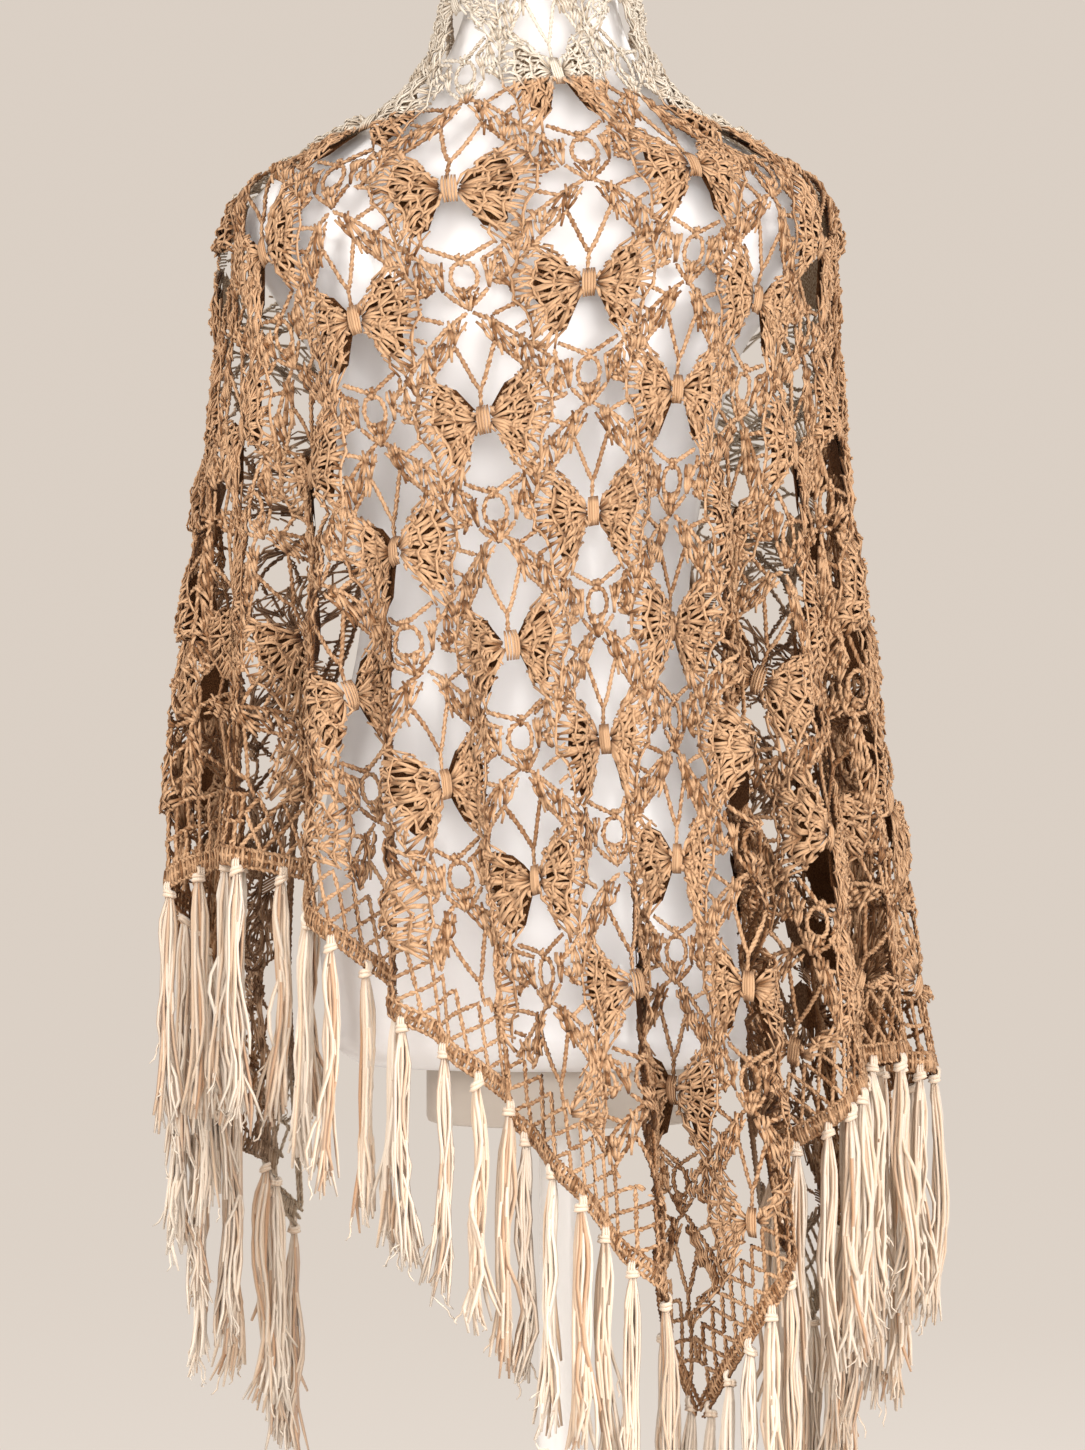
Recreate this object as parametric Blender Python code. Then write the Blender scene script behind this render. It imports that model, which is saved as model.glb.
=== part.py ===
"""A crocheted lace shawl with butterfly motifs and a tassel fringe, worn on a limbless dress form.

Metres, +Z up. The origin is the centre of the stand's underside, on the floor and on the pole's
axis. The back of the shawl faces -Y, and +X is on the right of someone who looks at that back.

The shawl is worked out from its flat cut, a triangle whose long edge lies round the neck. Rays fan
out from that edge over the flat cut, and each ray hangs down the figure as one column of the cloth,
at its own length. So the pieces, their gaps and the fringe are all laid out flat and then hung.
"""

import math

import bmesh
import bpy
import numpy as np
from mathutils.geometry import delaunay_2d_cdt

MM = 0.001

# The flat cut. u runs along the long edge, from the left front tip to the right one, and v runs
# up to that edge from the back point, so every point of the cloth has v <= 0.
HALF_SPAN = 1.05
DEPTH = 1.00
HEM = math.hypot(HALF_SPAN, DEPTH)
BAND_DEPTH = 0.1035
BORDER = 0.045
LEFT_SEAM = -0.368
RIGHT_SEAM = 0.272
SEAM = 0.5 * MM
EDGE_STEP = 0.028
LEAST_AREA = 0.2 * MM**2

# The crocheted wall, and how far the motifs stand out of it.
WALL = 2.2 * MM
BODY_RAISE = 2.6 * MM
WING_RAISE = 1.2 * MM

# The butterfly motifs lie in rows that are half a motif apart.
MOTIF_HALF_WIDTH = 0.080
MOTIF_HALF_HEIGHT = 0.076
FIRST_MOTIF = (-0.088, -0.100)
EDGE_MARGIN = 0.006

# One side of each gap of a motif, in millimetres from the middle of the butterfly's body, from the
# top down. The gap over the antennae and the one under the body are mirrored about the body.
ANTENNA_GAP = ((9, 68), (23, 46), (0, 22))
TAIL_GAP = ((0, -11), (15, -27), (9, -41))
SIDE_GAP = ((5, 13), (5, 22), (27, 44), (30, 33))

# Points of the wall between the gaps: across, up, and how far they stand out.
MOTIF_POINTS = (
    (0, 0, BODY_RAISE),
    (26, 4, WING_RAISE),
    (-26, 4, WING_RAISE),
    (27, -28, WING_RAISE),
    (-27, -28, WING_RAISE),
    (0, -62, 0),
)

# How the rays of the flat cut are hung. The ray in the middle of the back starts at NECK_POINT on
# the long edge; the rays start over RAY_SPAN to each side of it and turn through a right angle, so
# that the last ray on each side is the long edge itself, hanging down the front.
NECK_POINT = -0.080
RAY_SPAN = 0.300
COLLAR_TOP = 1.495
NECK_TURN = 162.0
NECK_DROP = 2 * RAY_SPAN / math.pi

# How much longer the open lace grows under its weight, by angle of the ray in the flat cut.
STRETCH = (
    (-90, 0.09),
    (-70, 0.30),
    (-55, 0.29),
    (-45, 0.18),
    (-32, 0.08),
    (-15, 0.035),
    (0, 0.018),
    (15, 0.035),
    (30, 0.09),
    (45, 0.17),
    (60, 0.17),
    (90, 0.03),
)
LOWEST = 0.35

# Angle of a ray in the flat cut, and the turn about the figure where it hangs, both in degrees.
RAY_ANGLES = (-90, -55, -30, 5, 45, 90)
RAY_TURNS = (-134, -82, -48, 23, 84, 146)

# Sections that the cloth hangs round before it folds: height, half-width, depth to the back,
# depth to the front.
CLOTH_SECTIONS = (
    (0.350, 0.2580, 0.178, 0.178),
    (0.700, 0.2540, 0.176, 0.177),
    (0.800, 0.2500, 0.173, 0.174),
    (0.900, 0.2430, 0.167, 0.168),
    (1.000, 0.2330, 0.156, 0.160),
    (1.100, 0.2230, 0.142, 0.150),
    (1.200, 0.2140, 0.126, 0.138),
    (1.250, 0.2110, 0.117, 0.128),
    (1.300, 0.2085, 0.107, 0.112),
    (1.320, 0.2020, 0.100, 0.101),
    (1.335, 0.1880, 0.094, 0.092),
    (1.350, 0.1615, 0.088, 0.086),
    (1.370, 0.1230, 0.082, 0.080),
    (1.390, 0.0980, 0.076, 0.074),
    (1.425, 0.0730, 0.068, 0.068),
    (1.460, 0.0625, 0.062, 0.062),
    (1.495, 0.0600, 0.059, 0.060),
)

# The figure and the cloth lean sideways off the pole: height and shift.
LEAN = (
    (0.350, 0.014),
    (0.500, 0.010),
    (0.620, 0.000),
    (0.760, -0.013),
    (0.900, -0.020),
    (1.300, -0.020),
    (1.390, -0.014),
    (1.495, -0.012),
)

# The large folds, each a trough between two ridges: turn at its top and at the hem in degrees,
# half-width in degrees, depth, and the height where it starts.
FOLDS = (
    (-122, -120, 8.0, 0.030, 1.16),
    (-101, -103, 9.0, 0.036, 1.20),
    (-80, -81, 9.0, 0.032, 1.24),
    (-62, -63, 8.0, 0.021, 1.24),
    (-45, -45, 10.0, 0.050, 1.30),
    (-26, -24, 8.5, 0.028, 1.14),
    (-9, -6, 8.0, 0.030, 1.10),
    (13, 18, 9.0, 0.046, 1.06),
    (41, 42, 9.5, 0.050, 1.24),
    (61, 63, 8.5, 0.028, 1.22),
    (80, 81, 8.5, 0.032, 1.24),
    (101, 102, 9.0, 0.036, 1.20),
    (123, 122, 8.5, 0.032, 1.16),
)
FOLD_FADE = 0.34
POINT_RIDGE = (31, 8.0, 0.012, 0.95)

# Fringe: tassels of three locks, hung from a narrow strip below the hem.
TASSELS = 41
STRIP = 3.0 * MM
FRINGE_SEAM = 0.8 * MM
LOCK_ROOT = 2.6 * MM
LOCK_PITCH = 4.2 * MM
LOCK_WIDTH = 3.4 * MM
LOCK_LENGTH = 0.170
LOCK_BELLY = 0.42
LOCK_SPREAD = 5.4 * MM

# The locks settle apart in plan by this much, and clear of the hem by this much.
LOCK_CLEAR = 5.2 * MM
HEM_CLEAR = 6.0 * MM
HEM_SAMPLE = 4 * MM
SETTLE_ROUNDS = 160

# The dress form: height, half-width, depth to the back, depth to the front.
FORM_SECTIONS = (
    (0.725, 0.128, 0.080, 0.085),
    (0.733, 0.140, 0.092, 0.097),
    (0.760, 0.146, 0.098, 0.103),
    (0.820, 0.150, 0.102, 0.108),
    (0.900, 0.142, 0.095, 0.101),
    (0.970, 0.125, 0.085, 0.092),
    (1.040, 0.113, 0.081, 0.090),
    (1.100, 0.120, 0.088, 0.102),
    (1.170, 0.134, 0.096, 0.120),
    (1.220, 0.152, 0.100, 0.122),
    (1.255, 0.177, 0.099, 0.110),
    (1.280, 0.193, 0.094, 0.096),
    (1.300, 0.197, 0.087, 0.084),
    (1.318, 0.1936, 0.080, 0.075),
    (1.335, 0.1769, 0.074, 0.068),
    (1.350, 0.1514, 0.069, 0.063),
    (1.370, 0.1149, 0.063, 0.058),
    (1.390, 0.0888, 0.058, 0.055),
    (1.410, 0.070, 0.054, 0.053),
    (1.440, 0.056, 0.051, 0.051),
    (1.480, 0.051, 0.049, 0.049),
    (1.508, 0.050, 0.048, 0.048),
    (1.516, 0.044, 0.042, 0.042),
)
FORM_SIDES = 28

# The stand under the form.
TOUCH = 0.3 * MM
HUB_TOP = FORM_SECTIONS[0][0] - TOUCH
HUB_HEIGHT = 0.040
HUB_HALF_WIDTH = 0.092
HUB_HALF_DEPTH = 0.062
POLE_RADIUS = 0.0145
BASE_RADIUS = 0.190
BASE_PROFILE = ((0.004, 0.0), (0.0, 0.004), (0.0, 0.010), (0.006, 0.015), (0.158, 0.022), (0.166, 0.040))
STAND_SIDES = 28

# Linear colours, roughness and metallic value of each material.
MATERIALS = {
    "cream_yarn": ((0.83, 0.74, 0.60), 0.85, 0.0),
    "tan_yarn": ((0.55, 0.33, 0.18), 0.85, 0.0),
    "fringe_yarn": ((0.84, 0.70, 0.54), 0.80, 0.0),
    "form_shell": ((0.86, 0.86, 0.88), 0.30, 0.0),
    "stand_paint": ((0.88, 0.87, 0.86), 0.25, 0.0),
}


def smooth_table(x, table, column):
    """Reads a column of a table at x, on a smooth curve through its rows. The first column rises."""
    rows = np.array(table, float)
    xs, ys = rows[:, 0], rows[:, column]
    slopes = np.gradient(ys, xs)
    i = np.clip(np.searchsorted(xs, x) - 1, 0, len(xs) - 2)
    width = xs[i + 1] - xs[i]
    t = np.clip((x - xs[i]) / width, 0, 1)
    rise = ys[i + 1] - ys[i]
    bend_in = slopes[i] * width - rise
    bend_out = rise - slopes[i + 1] * width
    return ys[i] + t * rise + t * (1 - t) * ((1 - t) * bend_in + t * bend_out)


def smooth_step(x):
    x = np.clip(x, 0, 1)
    return x * x * (3 - 2 * x)


def section_point(sections, height, turn):
    """Point and outward direction, in plan, at a turn about the section at that height."""
    across = smooth_table(height, sections, 1)
    back = smooth_table(height, sections, 2)
    front = smooth_table(height, sections, 3)
    sine, cosine = np.sin(turn), np.cos(turn)
    deep = np.where(cosine > 0, back, front)
    x, y = smooth_table(height, LEAN, 1) + across * sine, -deep * cosine
    out = np.stack([sine / across, -cosine / deep], axis=-1)
    return x, y, out / np.linalg.norm(out, axis=-1, keepdims=True)


def fold_depth(turn, height):
    """How far the folded cloth lies out of its section, negative in a trough."""
    degrees = np.degrees(turn)
    depth = np.zeros_like(degrees)
    for top_turn, hem_turn, half_width, most, start in FOLDS:
        fallen = smooth_step((start - height) / FOLD_FADE)
        middle = top_turn + (hem_turn - top_turn) * fallen
        across = np.clip((degrees - middle) / half_width, -1, 1)
        depth -= most * fallen * np.cos(across * math.pi / 2) ** 2
    middle, half_width, most, start = POINT_RIDGE
    across = np.clip((degrees - middle) / half_width, -1, 1)
    depth += most * smooth_step((start - height) / FOLD_FADE) * np.cos(across * math.pi / 2) ** 2
    return depth


class Drape:
    """The hung cloth: where each point of the flat cut lies, and which way the cloth faces there."""

    COLUMNS = 361
    DROPS = 420
    ROWS = 480

    def __init__(self):
        share = np.linspace(-1, 1, self.COLUMNS)[:, None]
        fan = np.radians(90 * share)
        start_turn = np.radians(NECK_TURN) * np.sin(fan)
        start_height = COLLAR_TOP - NECK_DROP * (1 - np.cos(fan))
        turns = tuple(zip(RAY_ANGLES, RAY_TURNS))
        hung_turn = np.radians(smooth_table(np.degrees(fan), turns, 1))
        drop = np.linspace(0, 1, self.DROPS)[None, :]
        height = start_height + (LOWEST - start_height) * drop
        settle = 0.14 + 0.40 * share**4
        settled = smooth_step((start_height - height) / settle)
        turn = start_turn + (hung_turn - start_turn) * settled
        x, y, out = section_point(CLOTH_SECTIONS, height, turn)
        points = np.stack([x, y, height], axis=-1)
        points[..., :2] += out * fold_depth(turn, height)[..., None]
        steps = np.linalg.norm(np.diff(points, axis=1), axis=-1)
        fallen = np.concatenate([np.zeros((self.COLUMNS, 1)), np.cumsum(steps, axis=1)], axis=1)
        fallen /= 1 + smooth_table(np.degrees(fan), STRETCH, 1)
        self.longest = 1.08
        along = np.linspace(0, self.longest, self.ROWS)
        self.points = np.stack(
            [
                np.stack([np.interp(along, fallen[c], points[c, :, axis]) for axis in range(3)], axis=-1)
                for c in range(self.COLUMNS)
            ]
        )
        down = np.gradient(self.points, axis=1)
        round_it = np.gradient(self.points, axis=0)
        faces_out = np.cross(down, round_it)
        length = np.linalg.norm(faces_out, axis=-1, keepdims=True)
        self.normals = faces_out / np.maximum(length, 1e-12)

    def place(self, flat):
        """Share of the fan and length along its ray of each flat point."""
        u, v = flat[:, 0], np.minimum(flat[:, 1], -1e-9)
        low, high = np.full(len(flat), -1.0), np.full(len(flat), 1.0)
        for _ in range(48):
            middle = (low + high) / 2
            fan = np.radians(90 * middle)
            beside = (u - NECK_POINT - RAY_SPAN * middle) * np.cos(fan) + v * np.sin(fan)
            low = np.where(beside > 0, middle, low)
            high = np.where(beside > 0, high, middle)
        share = (low + high) / 2
        return share, np.hypot(u - NECK_POINT - RAY_SPAN * share, v)

    def hang(self, flat):
        """Points and outward directions of the hung cloth at flat points."""
        flat = np.asarray(flat, float).reshape(-1, 2)
        share, along = self.place(flat)
        c = np.clip((share + 1) / 2 * (self.COLUMNS - 1), 0, self.COLUMNS - 1.001)
        r = np.clip(along / self.longest * (self.ROWS - 1), 0, self.ROWS - 1.001)
        ci, ri = c.astype(int), r.astype(int)
        cf, rf = (c - ci)[:, None], (r - ri)[:, None]
        both = []
        for grid in (self.points, self.normals):
            upper = grid[ci, ri] * (1 - cf) + grid[ci + 1, ri] * cf
            lower = grid[ci, ri + 1] * (1 - cf) + grid[ci + 1, ri + 1] * cf
            both.append(upper * (1 - rf) + lower * rf)
        points, normals = both
        return points, normals / np.linalg.norm(normals, axis=1, keepdims=True)


def hem_point(side, along, inset):
    """Flat point at a distance along a hem from its front tip, and inwards from that hem."""
    u = HALF_SPAN - along * HALF_SPAN / HEM - inset * DEPTH / HEM
    v = -along * DEPTH / HEM + inset * HALF_SPAN / HEM
    return (side * u, v)


def hem_inset(u, v):
    """Distance of a flat point inwards from the nearer hem."""
    return (HALF_SPAN * DEPTH - abs(u) * DEPTH + v * HALF_SPAN) / HEM


def stitched_line(start, end, step=EDGE_STEP):
    """Points from start towards end, without the end itself. Parallel seams get points abreast."""
    length = math.dist(start, end)
    along = ((end[0] - start[0]) / length, (end[1] - start[1]) / length)
    begin = start[0] * along[0] + start[1] * along[1]
    first = math.ceil(begin / step + 0.3)
    last = math.floor((begin + length) / step - 0.3)
    points = [start]
    for k in range(first, last + 1):
        reach = k * step - begin
        points.append((start[0] + along[0] * reach, start[1] + along[1] * reach))
    return points


def outline(corners, step=EDGE_STEP):
    """A closed outline with points along its straight runs."""
    points = []
    for i, corner in enumerate(corners):
        points += stitched_line(corner, corners[(i + 1) % len(corners)], step)
    return points


def mirrored(half):
    """A whole gap from one side of it: the other side is added from the bottom up."""
    other = [(-x, y) for x, y in reversed(half) if x > 0]
    return list(half) + other


def motif_centres():
    """Middles of the butterflies' bodies over the whole flat cut."""
    reach = int(HALF_SPAN / MOTIF_HALF_WIDTH) + 2
    for row in range(-1, int(DEPTH / MOTIF_HALF_HEIGHT) + 1):
        for column in range(-reach, reach + 1):
            if (row + column) % 2 == 0:
                u = FIRST_MOTIF[0] + column * MOTIF_HALF_WIDTH
                yield u, FIRST_MOTIF[1] - row * MOTIF_HALF_HEIGHT


def inside(point, polygon):
    """Whether a flat point lies inside a closed polygon."""
    x, y = point
    within = False
    for i, (x1, y1) in enumerate(polygon):
        x0, y0 = polygon[i - 1]
        if (y0 > y) != (y1 > y) and x < (x1 - x0) * (y - y0) / (y1 - y0) + x0:
            within = not within
    return within


def clear_of_edges(point, polygon, margin):
    """Whether a flat point is inside a polygon and at least margin from its edges."""
    if not inside(point, polygon):
        return False
    for i, end in enumerate(polygon):
        start = polygon[i - 1]
        run = (end[0] - start[0], end[1] - start[1])
        reach = (point[0] - start[0], point[1] - start[1])
        length = run[0] ** 2 + run[1] ** 2
        t = min(1.0, max(0.0, (reach[0] * run[0] + reach[1] * run[1]) / length))
        if math.hypot(reach[0] - t * run[0], reach[1] - t * run[1]) < margin:
            return False
    return True


def motif_gaps(corners):
    """The gaps of every motif that lie wholly inside a piece."""
    whole = [mirrored(ANTENNA_GAP), mirrored(TAIL_GAP), list(SIDE_GAP), [(-x, y) for x, y in SIDE_GAP]]
    gaps = []
    for u, v in motif_centres():
        for gap in whole:
            placed = [(u + x * MM, v + y * MM) for x, y in gap]
            if all(clear_of_edges(point, corners, EDGE_MARGIN) for point in placed):
                gaps.append(placed)
    return gaps


def motif_points(corners):
    """Raised and level points of the wall between the gaps, inside a piece."""
    points = []
    for u, v in motif_centres():
        for x, y, raised in MOTIF_POINTS:
            point = (u + x * MM, v + y * MM)
            if clear_of_edges(point, corners, 2 * EDGE_MARGIN):
                points.append((*point, raised))
    return points


def flat_triangles(rim, gaps, points):
    """Triangles of a flat piece with its gaps left out: corners, triangles and height of each corner."""
    corners, edges, raised = [], [], []
    for loop in [rim, *gaps]:
        first = len(corners)
        corners += [(x / MM, y / MM) for x, y in loop]
        edges += [(first + i, first + (i + 1) % len(loop)) for i in range(len(loop))]
        raised += [0.0] * len(loop)
    for x, y, out in points:
        corners.append((x / MM, y / MM))
        raised.append(out)
    made, _, faces, sources, _, _ = delaunay_2d_cdt(corners, edges, [], 0, 1e-4)
    made = [(p[0] * MM, p[1] * MM) for p in made]
    heights = [max((raised[s] for s in source), default=0.0) for source in sources]
    kept = []
    for face in faces:
        (ax, ay), (bx, by), (cx, cy) = (made[i] for i in face)
        if abs((bx - ax) * (cy - ay) - (cx - ax) * (by - ay)) < LEAST_AREA:
            continue
        middle = ((ax + bx + cx) / 3, (ay + by + cy) / 3)
        if inside(middle, rim) and not any(near(middle, gap) and inside(middle, gap) for gap in gaps):
            kept.append(tuple(face))
    return made, kept, heights


def near(point, gap):
    return abs(point[0] - gap[0][0]) < 0.08 and abs(point[1] - gap[0][1]) < 0.08


def new_object(name, mesh, material):
    made = bpy.data.objects.new(name, mesh)
    mesh.materials.append(bpy.data.materials[material])
    bpy.context.scene.collection.objects.link(made)
    return made


def mesh_object(name, points, faces, material, smooth_angle=None):
    """An object from points and faces, with its faces turned outwards."""
    mesh = bpy.data.meshes.new(name)
    mesh.from_pydata([tuple(map(float, p)) for p in points], [], faces)
    shape = bmesh.new()
    shape.from_mesh(mesh)
    bmesh.ops.recalc_face_normals(shape, faces=shape.faces)
    shape.to_mesh(mesh)
    shape.free()
    if smooth_angle:
        mesh.shade_smooth()
        mesh.set_sharp_from_angle(angle=smooth_angle)
    return new_object(name, mesh, material)


def rank(point):
    """Order of flat points along any seam, the same on both sides of it."""
    return 2 * point[0] + point[1]


def split_side(a, b, inner_a, inner_b, a_first):
    """Two triangles of a side wall from a to b, split the same way on both sides of a seam."""
    if a_first:
        return [(b, a, inner_b), (a, inner_a, inner_b)]
    return [(b, a, inner_a), (b, inner_a, inner_b)]


def cloth_piece(drape, name, rim, material, gaps, points):
    """Hangs a flat piece as a wall, raised at its motifs on the outside and plain on the inside."""
    flat, triangles, raised = flat_triangles(rim, gaps, points)
    middle, facing = drape.hang(flat)
    outer = middle + facing * (WALL / 2 + np.array(raised)[:, None])
    inner = middle - facing * (WALL / 2)
    count = len(flat)
    faces = [face for face in triangles] + [tuple(count + i for i in reversed(f)) for f in triangles]
    used = {(face[i], face[(i + 1) % 3]) for face in triangles for i in range(3)}
    for a, b in sorted(used):
        if (b, a) not in used:
            faces += split_side(a, b, count + a, count + b, rank(flat[a]) < rank(flat[b]))
    kept = sorted({i for face in faces for i in face})
    place = {old: new for new, old in enumerate(kept)}
    everything = np.concatenate([outer, inner])
    return mesh_object(
        name, everything[kept], [tuple(place[i] for i in face) for face in faces], material
    )


def make_lace(drape):
    """The cream band round the neck, and the tan lace of the back and of the two wings."""
    inset = BORDER + SEAM
    point = inset * HEM / HALF_SPAN - DEPTH

    def hem_depth(u):
        return (u, point + abs(u) * DEPTH / HALF_SPAN)

    def reach(v):
        return (v - point) * HALF_SPAN / DEPTH

    band_end = -BAND_DEPTH
    top = band_end - SEAM
    left, right = LEFT_SEAM - SEAM, RIGHT_SEAM + SEAM
    band = [(-reach(0), 0.0), (-reach(band_end), band_end), (reach(band_end), band_end), (reach(0), 0.0)]
    left_wing = [(-reach(top), top), hem_depth(left), (left, top)]
    right_wing = [(right, top), hem_depth(right), (reach(top), top)]
    back = [
        (LEFT_SEAM, top),
        hem_depth(LEFT_SEAM),
        (0.0, point),
        hem_depth(RIGHT_SEAM),
        (RIGHT_SEAM, top),
    ]
    pieces = (
        ("neck_band", band, "cream_yarn"),
        ("left_wing_lace", left_wing, "tan_yarn"),
        ("back_lace", back, "tan_yarn"),
        ("right_wing_lace", right_wing, "tan_yarn"),
    )
    for name, corners, material in pieces:
        rim = outline(corners)
        cloth_piece(drape, name, rim, material, motif_gaps(corners), motif_points(corners))


def make_borders(drape):
    """The strip of mesh and close stitches along each hem, mitred at the back point."""
    inner_start = BORDER * HALF_SPAN / DEPTH
    inner_end = HEM - BORDER * DEPTH / HALF_SPAN
    half_tassel = HEM / TASSELS / 2
    for side, name in ((-1, "hem_border_left"), (1, "hem_border_right")):
        hem = [hem_point(side, i * half_tassel, 0) for i in range(1, 2 * TASSELS)]
        mitre_top = (side * SEAM, hem_point(side, inner_end, BORDER)[1])
        mitre_low = (side * SEAM, hem[-1][1] - half_tassel * 0.4)
        front = [hem_point(side, inner_start, BORDER), (side * (HALF_SPAN - half_tassel), 0.0)]
        rim = hem + stitched_line(mitre_low, mitre_top) + stitched_line(mitre_top, front[0]) + front
        middle = []
        for i in range(2, 2 * TASSELS - 2, 2):
            middle.append((*hem_point(side, i * half_tassel, BORDER / 2), 0.0))
        cloth_piece(drape, name, rim, "tan_yarn", [], middle)


def make_fringe(drape):
    """Strips of tassels along both hems. Each tassel is three locks, whose roots are fused in its strip."""
    half = TASSELS // 2
    strips = []
    for side, word in ((-1, "left"), (1, "right")):
        for part, first, last in (("front", 0, half), ("back", half, TASSELS)):
            name = f"fringe_{word}_{part}"
            strips.append((name, *fringe_strip(drape, side, range(first, last))))
    hangs = settle_locks(drape, [lean for _, _, _, locks in strips for _, lean in locks])
    for name, points, faces, locks in strips:
        for root, _ in locks:
            add_lock(points, faces, root, hangs.pop(0))
        mesh_object(name, points, faces, "fringe_yarn")


def fringe_strip(drape, side, tassels):
    """Points and faces of one strip, open at its roots, and for each lock its root and its lean."""
    spacing = HEM / TASSELS
    begin = tassels[0] * spacing + SEAM
    end = (tassels[-1] + 1) * spacing - (SEAM if tassels[-1] + 1 < TASSELS else 2 * MM)
    top_at, bottom_at, roots = [], [], []
    for k in tassels:
        middle = (k + 0.5) * spacing
        start = begin if k == tassels[0] else middle - spacing / 2
        top_at += [start, middle]
        bottom_at.append(start)
        for share in (-1, 0, 1):
            roots.append((len(bottom_at), share))
            centre = middle + share * LOCK_PITCH
            bottom_at += [centre - LOCK_ROOT / 2, centre + LOCK_ROOT / 2]
    top_at.append(end)
    bottom_at.append(end)
    rails = []
    for stations, inset in ((top_at, -FRINGE_SEAM), (bottom_at, -FRINGE_SEAM - STRIP)):
        middle, facing = drape.hang([hem_point(side, a, inset) for a in stations])
        rails += [middle + facing * WALL / 2, middle - facing * WALL / 2]
    points = [p for rail in rails for p in rail]
    tops, bottoms = len(top_at), len(bottom_at)
    top_out, top_in = range(tops), range(tops, 2 * tops)
    bottom_out = range(2 * tops, 2 * tops + bottoms)
    bottom_in = range(2 * tops + bottoms, 2 * tops + 2 * bottoms)
    below = [next(i for i, b in enumerate(bottom_at) if b >= a) for a in top_at]
    faces = []
    for j in range(tops - 1):
        run = range(below[j], below[j + 1] + 1)
        first = rank(hem_point(side, top_at[j], 0)) < rank(hem_point(side, top_at[j + 1], 0))
        faces += split_side(top_out[j], top_out[j + 1], top_in[j], top_in[j + 1], first)
        for top, bottom in ((top_out, bottom_out), (top_in, bottom_in)):
            faces.append((top[j], top[j + 1], *(bottom[i] for i in reversed(run))))
    for j in (0, -1):
        faces.append((top_out[j], top_in[j], bottom_in[j], bottom_out[j]))
    rooted = {first for first, _ in roots}
    for i in range(bottoms - 1):
        if i not in rooted:
            faces.append((bottom_out[i], bottom_out[i + 1], bottom_in[i + 1], bottom_in[i]))
    locks = []
    for i, share in roots:
        root = (bottom_out[i], bottom_out[i + 1], bottom_in[i + 1], bottom_in[i])
        middle = np.mean([points[k] for k in root], axis=0)
        along = points[root[1]] - points[root[0]]
        along = along[:2] / np.linalg.norm(along[:2])
        away = np.array([-along[1], along[0]]) * side
        wanted = middle[:2] + along * share * LOCK_SPREAD + away * (3 - abs(share)) * MM
        locks.append((root, (middle, wanted)))
    return points, faces, locks


def settle_locks(drape, leans):
    """Where each lock hangs, in plan: by its own root, clear of the other locks and of the lower hem."""
    roots = np.array([root for root, _ in leans])
    plan = np.array([wanted for _, wanted in leans])
    wished = plan.copy()
    hem = []
    for side in (-1, 1):
        hem.append(drape.hang([hem_point(side, a, 0) for a in np.arange(0.0, HEM, HEM_SAMPLE)])[0])
    hem = np.concatenate(hem)
    lower = hem[None, :, 2] < roots[:, None, 2] - 8 * MM
    for _ in range(SETTLE_ROUNDS):
        plan += (wished - plan) * 0.02
        for others, counted, clear in ((plan, None, LOCK_CLEAR), (hem[:, :2], lower, HEM_CLEAR)):
            apart = plan[:, None, :] - others[None, :, :]
            distance = np.linalg.norm(apart, axis=-1)
            short = np.clip(clear - distance, 0, None)
            if counted is None:
                np.fill_diagonal(short, 0)
            else:
                short = np.where(counted, short, 0)
            push = apart / np.maximum(distance, 1e-6)[..., None] * short[..., None]
            plan = plan + 0.4 * push.sum(axis=1)
    return list(zip(roots, plan))


def add_lock(points, faces, root, hang):
    """Adds a lock that hangs from the four corners of its root to a point."""
    middle, plan = hang
    shift = np.append(plan - middle[:2], 0.0)
    belly = middle + shift + np.array([0.0, 0.0, -LOCK_LENGTH * LOCK_BELLY])
    across = points[root[1]] - points[root[0]]
    across[2] = 0
    across = across / np.linalg.norm(across) * LOCK_WIDTH / 2
    through = np.array([-across[1], across[0], 0.0])
    if through @ (points[root[0]] - points[root[3]]) < 0:
        through = -through
    first = len(points)
    for a, b in ((-1, 1), (1, 1), (1, -1), (-1, -1)):
        points.append(belly + across * a + through * b)
    points.append(middle + shift * 1.1 + np.array([0.0, 0.0, -LOCK_LENGTH]))
    for i in range(4):
        j = (i + 1) % 4
        faces.append((root[i], root[j], first + j, first + i))
        faces.append((first + i, first + j, first + 4))


def loft(name, rings, material, smooth_angle=math.radians(50)):
    """A closed solid through rings of points, from the lowest up."""
    sides = len(rings[0])
    points = [p for ring in rings for p in ring]
    faces = [tuple(range(sides)), tuple(range(len(points) - sides, len(points)))]
    for r in range(len(rings) - 1):
        for i in range(sides):
            j = (i + 1) % sides
            faces.append((r * sides + i, r * sides + j, (r + 1) * sides + j, (r + 1) * sides + i))
    return mesh_object(name, points, faces, material, smooth_angle)


def oval(half_width, half_depth, height, sides):
    angles = (2 * math.pi * i / sides for i in range(sides))
    return [(half_width * math.sin(a), -half_depth * math.cos(a), height) for a in angles]


def make_form():
    """The limbless torso with its neck, lofted through its sections."""
    rings = []
    for height, *_ in FORM_SECTIONS:
        turns = np.linspace(0, 2 * math.pi, FORM_SIDES, endpoint=False)
        heights = np.full(FORM_SIDES, height)
        x, y, _ = section_point(FORM_SECTIONS, heights, turns)
        rings.append(list(zip(x, y, heights)))
    loft("form_torso", rings, "form_shell", math.radians(70))


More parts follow.
